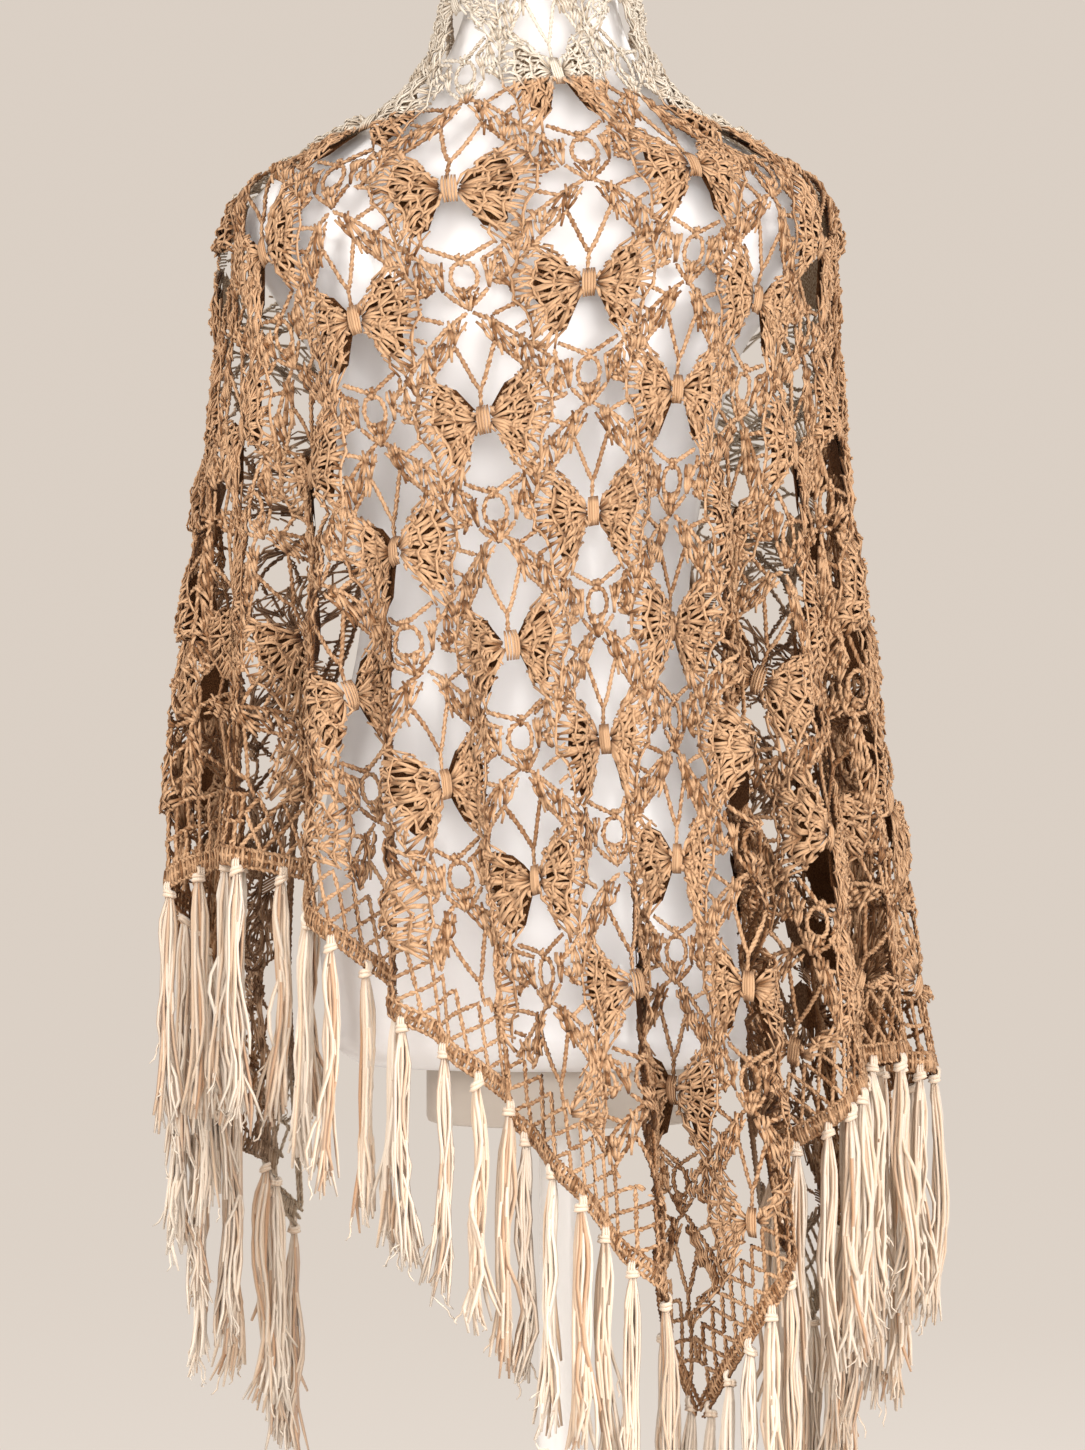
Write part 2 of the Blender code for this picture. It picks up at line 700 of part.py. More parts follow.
def make_stand():
    """The oval hub under the torso, the pole, and the round base that stands on the floor."""
    low, high = HUB_TOP - HUB_HEIGHT, HUB_TOP
    bevel = 0.004
    ovals = ((low, bevel), (low + bevel, 0), (high - bevel, 0), (high, bevel))
    hub = [oval(HUB_HALF_WIDTH - cut, HUB_HALF_DEPTH - cut, z, STAND_SIDES) for z, cut in ovals]
    loft("form_hub", hub, "stand_paint")
    base = [oval(BASE_RADIUS - cut, BASE_RADIUS - cut, z, STAND_SIDES) for cut, z in BASE_PROFILE]
    loft("stand_base", base, "stand_paint")
    pole_low, pole_high = BASE_PROFILE[-1][1] + TOUCH, low - TOUCH
    pole = [oval(POLE_RADIUS, POLE_RADIUS, z, STAND_SIDES) for z in (pole_low, pole_high)]
    loft("stand_pole", pole, "stand_paint")


def make_materials():
    for name, (colour, roughness, metallic) in MATERIALS.items():
        material = bpy.data.materials.new(name)
        material.use_nodes = True
        shader = material.node_tree.nodes["Principled BSDF"]
        shader.inputs["Base Color"].default_value = (*colour, 1.0)
        shader.inputs["Roughness"].default_value = roughness
        shader.inputs["Metallic"].default_value = metallic


def main():
    for old in list(bpy.data.objects):
        bpy.data.objects.remove(old)
    make_materials()
    drape = Drape()
    make_lace(drape)
    make_borders(drape)
    make_fringe(drape)
    make_form()
    make_stand()


main()
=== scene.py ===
"""The looks of the crocheted butterfly shawl on its dress form: every yarn is laid on the flat cut and then
hung the same way as the part's solids. Metres, +Z up, the back of the shawl faces -Y."""

import math

import bpy
import numpy as np
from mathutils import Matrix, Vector


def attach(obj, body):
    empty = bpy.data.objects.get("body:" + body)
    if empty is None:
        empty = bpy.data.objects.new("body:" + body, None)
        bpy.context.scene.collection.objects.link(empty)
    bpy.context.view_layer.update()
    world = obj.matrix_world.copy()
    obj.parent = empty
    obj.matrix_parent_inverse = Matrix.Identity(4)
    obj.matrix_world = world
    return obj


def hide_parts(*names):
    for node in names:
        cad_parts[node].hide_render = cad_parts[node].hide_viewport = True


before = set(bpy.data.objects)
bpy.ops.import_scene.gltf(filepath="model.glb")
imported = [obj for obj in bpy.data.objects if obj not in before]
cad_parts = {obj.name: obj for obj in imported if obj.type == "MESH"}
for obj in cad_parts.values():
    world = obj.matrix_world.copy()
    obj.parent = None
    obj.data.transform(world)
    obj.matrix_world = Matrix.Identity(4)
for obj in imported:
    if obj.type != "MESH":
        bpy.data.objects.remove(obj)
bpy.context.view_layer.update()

MM = 0.001

# The flat cut. u runs along the long edge, from the left front tip to the right one, and v runs
# up to that edge from the back point, so every point of the cloth has v <= 0.
HALF_SPAN = 1.05
DEPTH = 1.00
HEM = math.hypot(HALF_SPAN, DEPTH)
BAND_DEPTH = 0.1035
BORDER = 0.045
LEFT_SEAM = -0.368
RIGHT_SEAM = 0.272
# Where the yarn of the neck band and that of the back is parted into pieces.
NECK_MIDDLE = -0.02
BACK_CUTS = (-0.15, 0.07)

# The butterfly motifs lie in rows that are half a motif apart.
MOTIF_HALF_WIDTH = 0.080
MOTIF_HALF_HEIGHT = 0.076
FIRST_MOTIF = (-0.088, -0.100)

# How the rays of the flat cut are hung. The ray in the middle of the back starts at NECK_POINT on
# the long edge; the rays start over RAY_SPAN to each side of it and turn through a right angle, so
# that the last ray on each side is the long edge itself, hanging down the front.
NECK_POINT = -0.080
RAY_SPAN = 0.300
COLLAR_TOP = 1.495
NECK_TURN = 162.0
NECK_DROP = 2 * RAY_SPAN / math.pi

# How much longer the open lace grows under its weight, by angle of the ray in the flat cut.
STRETCH = (
    (-90, 0.09),
    (-70, 0.30),
    (-55, 0.29),
    (-45, 0.18),
    (-32, 0.08),
    (-15, 0.035),
    (0, 0.018),
    (15, 0.035),
    (30, 0.09),
    (45, 0.17),
    (60, 0.17),
    (90, 0.03),
)
LOWEST = 0.35

# Angle of a ray in the flat cut, and the turn about the figure where it hangs, both in degrees.
RAY_ANGLES = (-90, -55, -30, 5, 45, 90)
RAY_TURNS = (-134, -82, -48, 23, 84, 146)

# Sections that the cloth hangs round before it folds: height, half-width, depth to the back,
# depth to the front.
CLOTH_SECTIONS = (
    (0.350, 0.2580, 0.178, 0.178),
    (0.700, 0.2540, 0.176, 0.177),
    (0.800, 0.2500, 0.173, 0.174),
    (0.900, 0.2430, 0.167, 0.168),
    (1.000, 0.2330, 0.156, 0.160),
    (1.100, 0.2230, 0.142, 0.150),
    (1.200, 0.2140, 0.126, 0.138),
    (1.250, 0.2110, 0.117, 0.128),
    (1.300, 0.2085, 0.107, 0.112),
    (1.320, 0.2020, 0.100, 0.101),
    (1.335, 0.1880, 0.094, 0.092),
    (1.350, 0.1615, 0.088, 0.086),
    (1.370, 0.1230, 0.082, 0.080),
    (1.390, 0.0980, 0.076, 0.074),
    (1.425, 0.0730, 0.068, 0.068),
    (1.460, 0.0625, 0.062, 0.062),
    (1.495, 0.0600, 0.059, 0.060),
)

# The figure and the cloth lean sideways off the pole: height and shift.
LEAN = (
    (0.350, 0.014),
    (0.500, 0.010),
    (0.620, 0.000),
    (0.760, -0.013),
    (0.900, -0.020),
    (1.300, -0.020),
    (1.390, -0.014),
    (1.495, -0.012),
)

# The large folds, each a trough between two ridges: turn at its top and at the hem in degrees,
# half-width in degrees, depth, and the height where it starts.
FOLDS = (
    (-122, -120, 8.0, 0.030, 1.16),
    (-101, -103, 9.0, 0.036, 1.20),
    (-80, -81, 9.0, 0.032, 1.24),
    (-62, -63, 8.0, 0.021, 1.24),
    (-45, -45, 10.0, 0.050, 1.30),
    (-26, -24, 8.5, 0.028, 1.14),
    (-9, -6, 8.0, 0.030, 1.10),
    (13, 18, 9.0, 0.046, 1.06),
    (41, 42, 9.5, 0.050, 1.24),
    (61, 63, 8.5, 0.028, 1.22),
    (80, 81, 8.5, 0.032, 1.24),
    (101, 102, 9.0, 0.036, 1.20),
    (123, 122, 8.5, 0.032, 1.16),
)
FOLD_FADE = 0.34
POINT_RIDGE = (31, 8.0, 0.012, 0.95)

# Fringe: tassels along each hem, and the length of one.
TASSELS = 41
LOCK_LENGTH = 0.170
TASSEL_STRANDS = 17
TASSEL_POINTS = 12
TASSEL_FRAYS = 4
STRAND_RADIUS = 1.55 * MM
FRAY_RADIUS = 0.75 * MM
KNOT_RADIUS = 1.75 * MM
LOOP_RADIUS = 1.35 * MM
# How far tassels keep from each other, and from the hem below them.
TASSEL_CLEAR = 12.5 * MM
HEM_CLEAR = 8 * MM

# The dress form: height, half-width, depth to the back, depth to the front.
FORM_SECTIONS = (
    (0.725, 0.128, 0.080, 0.085),
    (0.733, 0.140, 0.092, 0.097),
    (0.760, 0.146, 0.098, 0.103),
    (0.820, 0.150, 0.102, 0.108),
    (0.900, 0.142, 0.095, 0.101),
    (0.970, 0.125, 0.085, 0.092),
    (1.040, 0.113, 0.081, 0.090),
    (1.100, 0.120, 0.088, 0.102),
    (1.170, 0.134, 0.096, 0.120),
    (1.220, 0.152, 0.100, 0.122),
    (1.255, 0.177, 0.099, 0.110),
    (1.280, 0.193, 0.094, 0.096),
    (1.300, 0.197, 0.087, 0.084),
    (1.318, 0.1936, 0.080, 0.075),
    (1.335, 0.1769, 0.074, 0.068),
    (1.350, 0.1514, 0.069, 0.063),
    (1.370, 0.1149, 0.063, 0.058),
    (1.390, 0.0888, 0.058, 0.055),
    (1.410, 0.070, 0.054, 0.053),
    (1.440, 0.056, 0.051, 0.051),
    (1.480, 0.051, 0.049, 0.049),
    (1.508, 0.050, 0.048, 0.048),
    (1.516, 0.044, 0.042, 0.042),
)

# The stand under the form.
TOUCH = 0.3 * MM
HUB_TOP = FORM_SECTIONS[0][0] - TOUCH
HUB_HEIGHT = 0.040
HUB_HALF_WIDTH = 0.092
HUB_HALF_DEPTH = 0.062
POLE_RADIUS = 0.0145
BASE_RADIUS = 0.190
HUB_LOW = HUB_TOP - HUB_HEIGHT
# The rounded edge of the hub, and the base from its underside up: distance in from the rim, and height.
HUB_EDGE = ((0.004, 0.0), (0.0012, 0.0012), (0.0, 0.004))
BASE_PROFILE = ((0.004, 0.0), (0.0, 0.004), (0.0, 0.010), (0.006, 0.015), (0.158, 0.022), (0.166, 0.040))

# Yarn: radii in millimetres, and how a chain of two strands is twisted.
POST_RADIUS = 1.24
CROSS_RADIUS = 0.95
CHAIN_RADIUS = 1.20
CHAIN_TWIST = 0.95
CHAIN_PITCH = 7.8
CHAIN_STEP = 2.75
WRAP_RADIUS = 1.05

# What a yarn's tint of 0 comes to and how much more a tint of 1 does; then painted shade: how much darker
# the yarn is on its under side, where it dips below its own middle, and where the whole yarn lies deep.
TINT_LOW = 0.15
TINT_SPAN = 0.60
UNDER_SHADE = 0.30
LIFT_SHADE = 0.26
DEEP_SHADE = 0.06

# How far the yarn lies from the middle of the wall, in millimetres.
POST_LIFT = 0.9
WING_PUFF = 2.4
BODY_LIFT = 4.4

# Reach of a wing from the middle of the body, by direction: degrees up from sideways, millimetres.
WING_REACH = (
    (-68, 20),
    (-63, 44),
    (-54, 51),
    (-43, 50),
    (-34, 45),
    (-24, 41),
    (-14, 44),
    (-3, 47),
    (8, 48),
    (18, 48),
    (28, 48),
    (38, 49),
    (45, 46),
    (51, 34),
    (56, 14),
)
# Rounds of posts in a wing: start and end along the reach, shells, posts in a shell, and how wide
# the foot of a shell is for its head.
WING_ROUNDS = ((0.08, 0.46, 3, 5, 0.9), (0.34, 0.74, 4, 6, 0.16), (0.62, 1.02, 5, 6, 0.16))

# The strip of shells that runs down from over an antenna to the next round cell: its lower and
# upper edges, and where along it the shells stand.
STRIP_LOW = ((13, 51), (25, 40), (38, 27), (49, 15), (60, 8))
STRIP_HIGH = ((2, 72), (17, 63), (31, 52), (45, 40), (57, 29), (67, 24))
STRIP_SHELLS = ((0.02, 0.10), (0.22, 0.16), (0.36, 0.40), (0.56, 0.50), (0.70, 0.72), (0.90, 0.82))

# Chains: an antenna, the links from a wing to what lies round it, and two at the round cell below.
ANTENNA = ((0, 20), (4, 27), (14, 51))
LINKS = (
    ((31, 31), (36, 32)),
    ((46, 15), (51, 17)),
    ((47, 6), (54, 7), (62, 10)),
    ((45, -6), (54, -9), (64, -13)),
    ((42, -20), (50, -24)),
    ((31, -38), (40, -35)),
    ((22, -38), (10, -44), (0, -49)),
    ((25, -42), (24, -50), (18, -54)),
)
ROUND_CELL = ((0, -50), (6, -52), (9, -60), (7, -67), (0, -69))
UNDER_CELL = ((0, -81), (7, -76), (14, -69))

# The hem, in millimetres: pitch of its stitches, rows and pitch of its square net, then of its diamonds.
HEM_STITCH = 3.1
HEM_ROWS = (11, 27.5, 44)
SQUARE_CELL = 11.5
DIAMOND_CELL = 17.0
DIAMOND_ROWS = ((11, 22), (33, 22), (33, 44))

# Colours are linear.
# Each yarn's dark, middle and light tones: its tint picks among them, so they carry its own tone and also
# painted shade and highlight.
TAN = (0.215, 0.098, 0.040)
TAN_DARK = (0.045, 0.014, 0.004)
TAN_LIGHT = (0.565, 0.352, 0.205)
CREAM = (0.52, 0.425, 0.325)
CREAM_DARK = (0.20, 0.120, 0.062)
CREAM_LIGHT = (0.70, 0.635, 0.545)
FRINGE = (0.67, 0.505, 0.365)
FRINGE_DARK = (0.50, 0.290, 0.170)
FRINGE_LIGHT = (0.80, 0.705, 0.60)
# Painted shade under the wings: its dark and lighter tone, then the same where the yarn is pale.
SHADE_SKIN_TONES = ((0.050, 0.017, 0.005), (0.200, 0.090, 0.036))
SHADE_SKIN_PALE = ((0.20, 0.125, 0.07), (0.62, 0.50, 0.37))
BACKDROP = (0.705, 0.628, 0.556)
# Where along the tint the three tones of a yarn lie.
TONE_STOPS = (0.08, 0.60, 1.0)
FLOOR_REACH = 40

rng = np.random.default_rng(11)

# Narrow folds between the large ones: width of one in metres, depth, how it wanders, and its start.
NARROW_FOLDS = (
    (0.061, 5.2 * MM, 2.1, 0.4),
    (0.087, 4.6 * MM, -1.4, 2.2),
    (0.043, 2.2 * MM, 3.3, 1.1),
)
# The folds grow downwards from a height, over a length.
NARROW_FROM = 1.27
NARROW_OVER = 0.30
# Radius about the pole's axis at which their width is counted.
NARROW_REACH = 0.2
# The lace is uneven all over: wave length and height of its unevenness.
CRUMPLE = ((0.094, 0.071, 0.9 * MM), (0.058, 0.103, 0.7 * MM))


def smooth_table(x, table, column):
    """Reads a column of a table at x, on a smooth curve through its rows. The first column rises."""
    rows = np.array(table, float)
    xs, ys = rows[:, 0], rows[:, column]
    slopes = np.gradient(ys, xs)
    i = np.clip(np.searchsorted(xs, x) - 1, 0, len(xs) - 2)
    width = xs[i + 1] - xs[i]
    t = np.clip((x - xs[i]) / width, 0, 1)
    rise = ys[i + 1] - ys[i]
    bend_in = slopes[i] * width - rise
    bend_out = rise - slopes[i + 1] * width
    return ys[i] + t * rise + t * (1 - t) * ((1 - t) * bend_in + t * bend_out)


def smooth_step(x):
    x = np.clip(x, 0, 1)
    return x * x * (3 - 2 * x)


def section_point(sections, height, turn):
    """Point and outward direction, in plan, at a turn about the section at that height."""
    across = smooth_table(height, sections, 1)
    back = smooth_table(height, sections, 2)
    front = smooth_table(height, sections, 3)
    sine, cosine = np.sin(turn), np.cos(turn)
    deep = np.where(cosine > 0, back, front)
    x, y = smooth_table(height, LEAN, 1) + across * sine, -deep * cosine
    out = np.stack([sine / across, -cosine / deep], axis=-1)
    return x, y, out / np.linalg.norm(out, axis=-1, keepdims=True)


def fold_depth(turn, height):
    """How far the folded cloth lies out of its section, negative in a trough."""
    degrees = np.degrees(turn)
    depth = np.zeros_like(degrees)
    for top_turn, hem_turn, half_width, most, start in FOLDS:
        fallen = smooth_step((start - height) / FOLD_FADE)
        middle = top_turn + (hem_turn - top_turn) * fallen
        across = np.clip((degrees - middle) / half_width, -1, 1)
        depth -= most * fallen * np.cos(across * math.pi / 2) ** 2
    middle, half_width, most, start = POINT_RIDGE
    across = np.clip((degrees - middle) / half_width, -1, 1)
    depth += most * smooth_step((start - height) / FOLD_FADE) * np.cos(across * math.pi / 2) ** 2
    return depth


class Drape:
    """The hung cloth: where each point of the flat cut lies, and which way the cloth faces there."""

    COLUMNS = 361
    DROPS = 420
    ROWS = 480

    def __init__(self):
        share = np.linspace(-1, 1, self.COLUMNS)[:, None]
        fan = np.radians(90 * share)
        start_turn = np.radians(NECK_TURN) * np.sin(fan)
        start_height = COLLAR_TOP - NECK_DROP * (1 - np.cos(fan))
        turns = tuple(zip(RAY_ANGLES, RAY_TURNS))
        hung_turn = np.radians(smooth_table(np.degrees(fan), turns, 1))
        drop = np.linspace(0, 1, self.DROPS)[None, :]
        height = start_height + (LOWEST - start_height) * drop
        settle = 0.14 + 0.40 * share**4
        settled = smooth_step((start_height - height) / settle)
        turn = start_turn + (hung_turn - start_turn) * settled
        x, y, out = section_point(CLOTH_SECTIONS, height, turn)
        points = np.stack([x, y, height], axis=-1)
        points[..., :2] += out * fold_depth(turn, height)[..., None]
        steps = np.linalg.norm(np.diff(points, axis=1), axis=-1)
        fallen = np.concatenate([np.zeros((self.COLUMNS, 1)), np.cumsum(steps, axis=1)], axis=1)
        fallen /= 1 + smooth_table(np.degrees(fan), STRETCH, 1)
        self.longest = 1.08
        along = np.linspace(0, self.longest, self.ROWS)
        self.points = np.stack(
            [
                np.stack([np.interp(along, fallen[c], points[c, :, axis]) for axis in range(3)], axis=-1)
                for c in range(self.COLUMNS)
            ]
        )
        down = np.gradient(self.points, axis=1)
        round_it = np.gradient(self.points, axis=0)
        faces_out = np.cross(down, round_it)
        length = np.linalg.norm(faces_out, axis=-1, keepdims=True)
        self.normals = faces_out / np.maximum(length, 1e-12)

    def place(self, flat):
        """Share of the fan and length along its ray of each flat point."""
        u, v = flat[:, 0], np.minimum(flat[:, 1], -1e-9)
        low, high = np.full(len(flat), -1.0), np.full(len(flat), 1.0)
        for _ in range(48):
            middle = (low + high) / 2
            fan = np.radians(90 * middle)
            beside = (u - NECK_POINT - RAY_SPAN * middle) * np.cos(fan) + v * np.sin(fan)
            low = np.where(beside > 0, middle, low)
            high = np.where(beside > 0, high, middle)
        share = (low + high) / 2
        return share, np.hypot(u - NECK_POINT - RAY_SPAN * share, v)

    def hang(self, flat):
        """Points and outward directions of the hung cloth at flat points."""
        flat = np.asarray(flat, float).reshape(-1, 2)
        share, along = self.place(flat)
        c = np.clip((share + 1) / 2 * (self.COLUMNS - 1), 0, self.COLUMNS - 1.001)
        r = np.clip(along / self.longest * (self.ROWS - 1), 0, self.ROWS - 1.001)
        ci, ri = c.astype(int), r.astype(int)
        cf, rf = (c - ci)[:, None], (r - ri)[:, None]
        both = []
        for grid in (self.points, self.normals):
            upper = grid[ci, ri] * (1 - cf) + grid[ci + 1, ri] * cf
            lower = grid[ci, ri + 1] * (1 - cf) + grid[ci + 1, ri + 1] * cf
            both.append(upper * (1 - rf) + lower * rf)
        points, normals = both
        return points, normals / np.linalg.norm(normals, axis=1, keepdims=True)


def motif_centres():
    """Middles of the butterflies' bodies over the whole flat cut."""
    reach = int(HALF_SPAN / MOTIF_HALF_WIDTH) + 2
    for row in range(-1, int(DEPTH / MOTIF_HALF_HEIGHT) + 1):
        for column in range(-reach, reach + 1):
            if (row + column) % 2 == 0:
                u = FIRST_MOTIF[0] + column * MOTIF_HALF_WIDTH
                yield u, FIRST_MOTIF[1] - row * MOTIF_HALF_HEIGHT


# Making tubes --------------------------------------------------------------


def placed(name, mesh, material):
    """The mesh as an object of the scene, in its material."""
    mesh.materials.append(material)
    made = bpy.data.objects.new(name, mesh)
    bpy.context.scene.collection.objects.link(made)
    return made


def unit(runs):
    return runs / np.maximum(np.linalg.norm(runs, axis=-1, keepdims=True), 1e-9)


def sideways(runs):
    """Runs in a plane, turned a quarter."""
    return np.stack([-runs[..., 1], runs[..., 0]], axis=-1)


class Yarns:
    """Lines of yarn in the flat cut, in metres, each with lifts, a radius and a tint."""

    def __init__(self):
        self.by_count = {}

    def add(self, lines, lifts, radius, tint):
        """lines is (m, n, 2), lifts (m, n); radius and tint are one number or one for each line."""
        lines = np.asarray(lines, float)
        count, points = lines.shape[:2]
        lifts = np.broadcast_to(np.asarray(lifts, float), (count, points))
        radius = np.broadcast_to(np.asarray(radius, float), (count,))
        tint = np.broadcast_to(np.asarray(tint, float), (count,))
        self.by_count.setdefault(points, []).append((lines, lifts, radius, tint))

    def groups(self):
        for points, kept in sorted(self.by_count.items()):
            yield tuple(np.concatenate([k[i] for k in kept]) for i in range(4))


class Tubes:
    """Points, faces and tints of many closed tubes, the tints with painted shade on each tube's under side.
    """

    def __init__(self):
        self.points, self.quads, self.caps, self.tints, self.pales = [], [], [], [], []
        self.count = 0

    def add(self, paths, up, radius, tint, sides=3, taper=0.72, pale=1.0):
        """paths is (m, n, 3) and up the same or one direction; radius is in metres, one or (m,);
        tint and pale are one or (m,) or (m, n)."""
        m, n = paths.shape[:2]
        if m == 0:
            return
        along = unit(np.gradient(paths, axis=1))
        side = unit(np.cross(along, up))
        over = np.cross(side, along)
        turn = 2 * math.pi * (np.arange(sides) + 0.25) / sides
        size = np.ones(n)
        size[0] = size[-1] = taper
        size = np.broadcast_to(radius, (m,))[:, None] * size[None, :]
        rings = (
            paths[:, :, None, :]
            + size[:, :, None, None] * np.cos(turn)[None, None, :, None] * side[:, :, None, :]
            + size[:, :, None, None] * np.sin(turn)[None, None, :, None] * over[:, :, None, :]
        )
        first = self.count + (np.arange(m) * n * sides)[:, None]
        ring = first[:, :, None] + (np.arange(n - 1) * sides)[None, :, None]
        k = np.arange(sides)
        j = (k + 1) % sides
        quads = np.stack([ring + k, ring + sides + k, ring + sides + j, ring + j], axis=-1)
        self.points.append(rings.reshape(-1, 3))
        self.quads.append(quads.reshape(-1, 4))
        self.caps.append(np.concatenate([first + k, (first + k + (n - 1) * sides)[:, ::-1]]))
        tint = np.broadcast_to(tint[:, None] if np.ndim(tint) == 1 else tint, (m, n))
        # Painted shade: the under side of every tube is darker and its top lighter, by the sine of the turn
        # round it.
        shaded = TINT_LOW + TINT_SPAN * tint[..., None] + UNDER_SHADE * np.sin(turn)[None, None, :]
        self.tints.append(shaded.reshape(-1))
        pale = np.broadcast_to(pale, (m, n))[..., None]
        self.pales.append(np.broadcast_to(pale, (m, n, sides)).reshape(-1))
        self.count += m * n * sides

    def build(self, name, material):
        parts = self.quads + self.caps
        sizes = np.concatenate([np.full(len(p), p.shape[1]) for p in parts])
        mesh = bpy.data.meshes.new(name)
        mesh.vertices.add(self.count)
        mesh.vertices.foreach_set("co", np.concatenate(self.points).astype(np.float32).ravel())
        mesh.loops.add(int(sizes.sum()))
        corners = np.concatenate([p.reshape(-1) for p in parts])
        mesh.loops.foreach_set("vertex_index", corners.astype(np.int32))
        mesh.polygons.add(len(sizes))
        starts = np.concatenate([[0], np.cumsum(sizes)[:-1]])
        mesh.polygons.foreach_set("loop_start", starts.astype(np.int32))
        for word, values in (("tint", self.tints), ("pale", self.pales)):
            kept = mesh.attributes.new(word, "FLOAT", "POINT")
            kept.data.foreach_set("value", np.concatenate(values).astype(np.float32))
        mesh.update(calc_edges=True)
        mesh.shade_smooth()
        return placed(name, mesh, material)


def hang_folded(flat):
    """Points and outward directions of the hung cloth with its narrow folds and unevenness."""
    flat = np.asarray(flat, float).reshape(-1, 2)
    points, facing = drape.hang(flat)
    turn = np.arctan2(points[:, 0] - smooth_table(points[:, 2], LEAN, 1), -points[:, 1])
    round_it = turn * NARROW_REACH
    below = smooth_step((NARROW_FROM - points[:, 2]) / NARROW_OVER)
    depth, slope = np.zeros(len(flat)), np.zeros(len(flat))
    for width, deep, wander, start in NARROW_FOLDS:
        phase = 2 * math.pi * round_it / width + wander * np.sin(4.1 * points[:, 2] + start) + start
        depth += deep * (np.sin(phase) + 0.3)
        slope += deep * np.cos(phase) * 2 * math.pi / width
    depth, slope = depth * below, slope * below
    for across, down, high in CRUMPLE:
        wave = np.sin(2 * math.pi * flat[:, 0] / across + 3 * flat[:, 1])
        wave = wave * np.sin(2 * math.pi * flat[:, 1] / down)
        depth += high * (wave * below + np.abs(wave) * (1 - below))
    level = unit(np.stack([-facing[:, 1], facing[:, 0], np.zeros(len(flat))], axis=1))
    return points + facing * depth[:, None], unit(facing - level * slope[:, None])


def paleness(flat):
    """How far the tan yarn has turned to cream: round the neck, and again at the front tips."""
    u, v = np.abs(flat[..., 0] - NECK_MIDDLE), flat[..., 1]
    band = 1 - 0.85 * smooth_step((u - 0.40) / 0.12)
    tip = smooth_step((u - 0.86) / 0.10)
    return np.maximum(np.where(v > -BAND_DEPTH, band, 0.0), tip)


def hang_yarns(yarns, tubes, keep, thickness=1.0):
    """Hangs every yarn that keep() accepts, and adds it to tubes."""
    for lines, lifts, radius, tint in yarns.groups():
        kept = keep(lines)
        if not kept.any():
            continue
        lines, lifts, radius, tint = lines[kept], lifts[kept], radius[kept], tint[kept]
        m, n = lines.shape[:2]
        points, facing = hang_folded(lines.reshape(-1, 2))
        facing = facing.reshape(m, n, 3)
        points = points.reshape(m, n, 3) + facing * lifts[..., None] * MM
        # Painted shade: a yarn is darker where it dips below its own middle lift and lighter where raised,
        # and darker when it lies deep in the wall.
        level = lifts.mean(axis=1, keepdims=True)
        tint = tint[:, None] + LIFT_SHADE * (lifts - level).clip(-1.6, 1.6)
        tint = tint + DEEP_SHADE * (level - 1.5).clip(-2.5, 2.5)
        tubes.add(points, facing, radius * thickness * MM, tint, pale=paleness(lines))


def inset_of(points):
    """Distance of flat points inwards from the nearer hem."""
    return (HALF_SPAN * DEPTH - np.abs(points[..., 0]) * DEPTH + points[..., 1] * HALF_SPAN) / HEM


def cut_to_field(yarns):
    """The same yarns, each cut off where it leaves the lace for the border or the long edge."""
    cut = Yarns()
    for lines, lifts, radius, tint in yarns.groups():
        within = (inset_of(lines) > BORDER - 2 * MM) & (lines[..., 1] < -2 * MM)
        whole = within.all(axis=1)
        if whole.any():
            cut.add(lines[whole], lifts[whole], radius[whole], tint[whole])
        for i in np.nonzero(within.any(axis=1) & ~whole)[0]:
            for run in np.split(np.arange(lines.shape[1]), np.nonzero(np.diff(within[i].astype(int)))[0] + 1):
                if within[i, run[0]] and len(run) > 1:
                    points, lift = lines[i, run], lifts[i, run]
                    if len(run) == 2:
                        points = np.stack([points[0], points.mean(axis=0), points[1]])
                        lift = np.array([lift[0], lift.mean(), lift[1]])
                    cut.add(points[None], lift[None], radius[i], tint[i])
    return cut


# One motif, in millimetres from the middle of the body ---------------------


def lengths_of(corners):
    """Length along a line of corners at each corner."""
    return np.concatenate([[0], np.cumsum(np.linalg.norm(np.diff(corners, axis=0), axis=1))])


def along_line(corners, share):
    """The point at a share of the length of a line of corners."""
    corners = np.asarray(corners, float)
    lengths = lengths_of(corners)
    return np.array([np.interp(share * lengths[-1], lengths, corners[:, i]) for i in (0, 1)])


def bowed(start, end, bow, points=3):
    """Lines from start to end, (m, 2) each, bowed sideways."""
    t = np.linspace(0, 1, points)[None, :, None]
    line = start[:, None, :] * (1 - t) + end[:, None, :] * t
    side = unit(sideways(end - start))
    return line + side[:, None, :] * (bow[:, None] * np.sin(np.pi * t[..., 0]))[..., None]


def wing_lift(reach_share):
    """The wings stand out most past their middle."""
    return POST_LIFT + WING_PUFF * np.sin(np.clip(reach_share, 0.02, 1) * math.pi) ** 0.7


def wing_point(mirror, degrees, share):
    """A point of a wing at a share of its reach in a direction."""
    reach = smooth_table(degrees, WING_REACH, 1) * share
    a = np.radians(degrees)
    return np.stack([mirror * (3.0 + np.cos(a) * reach), np.sin(a) * reach], axis=-1)


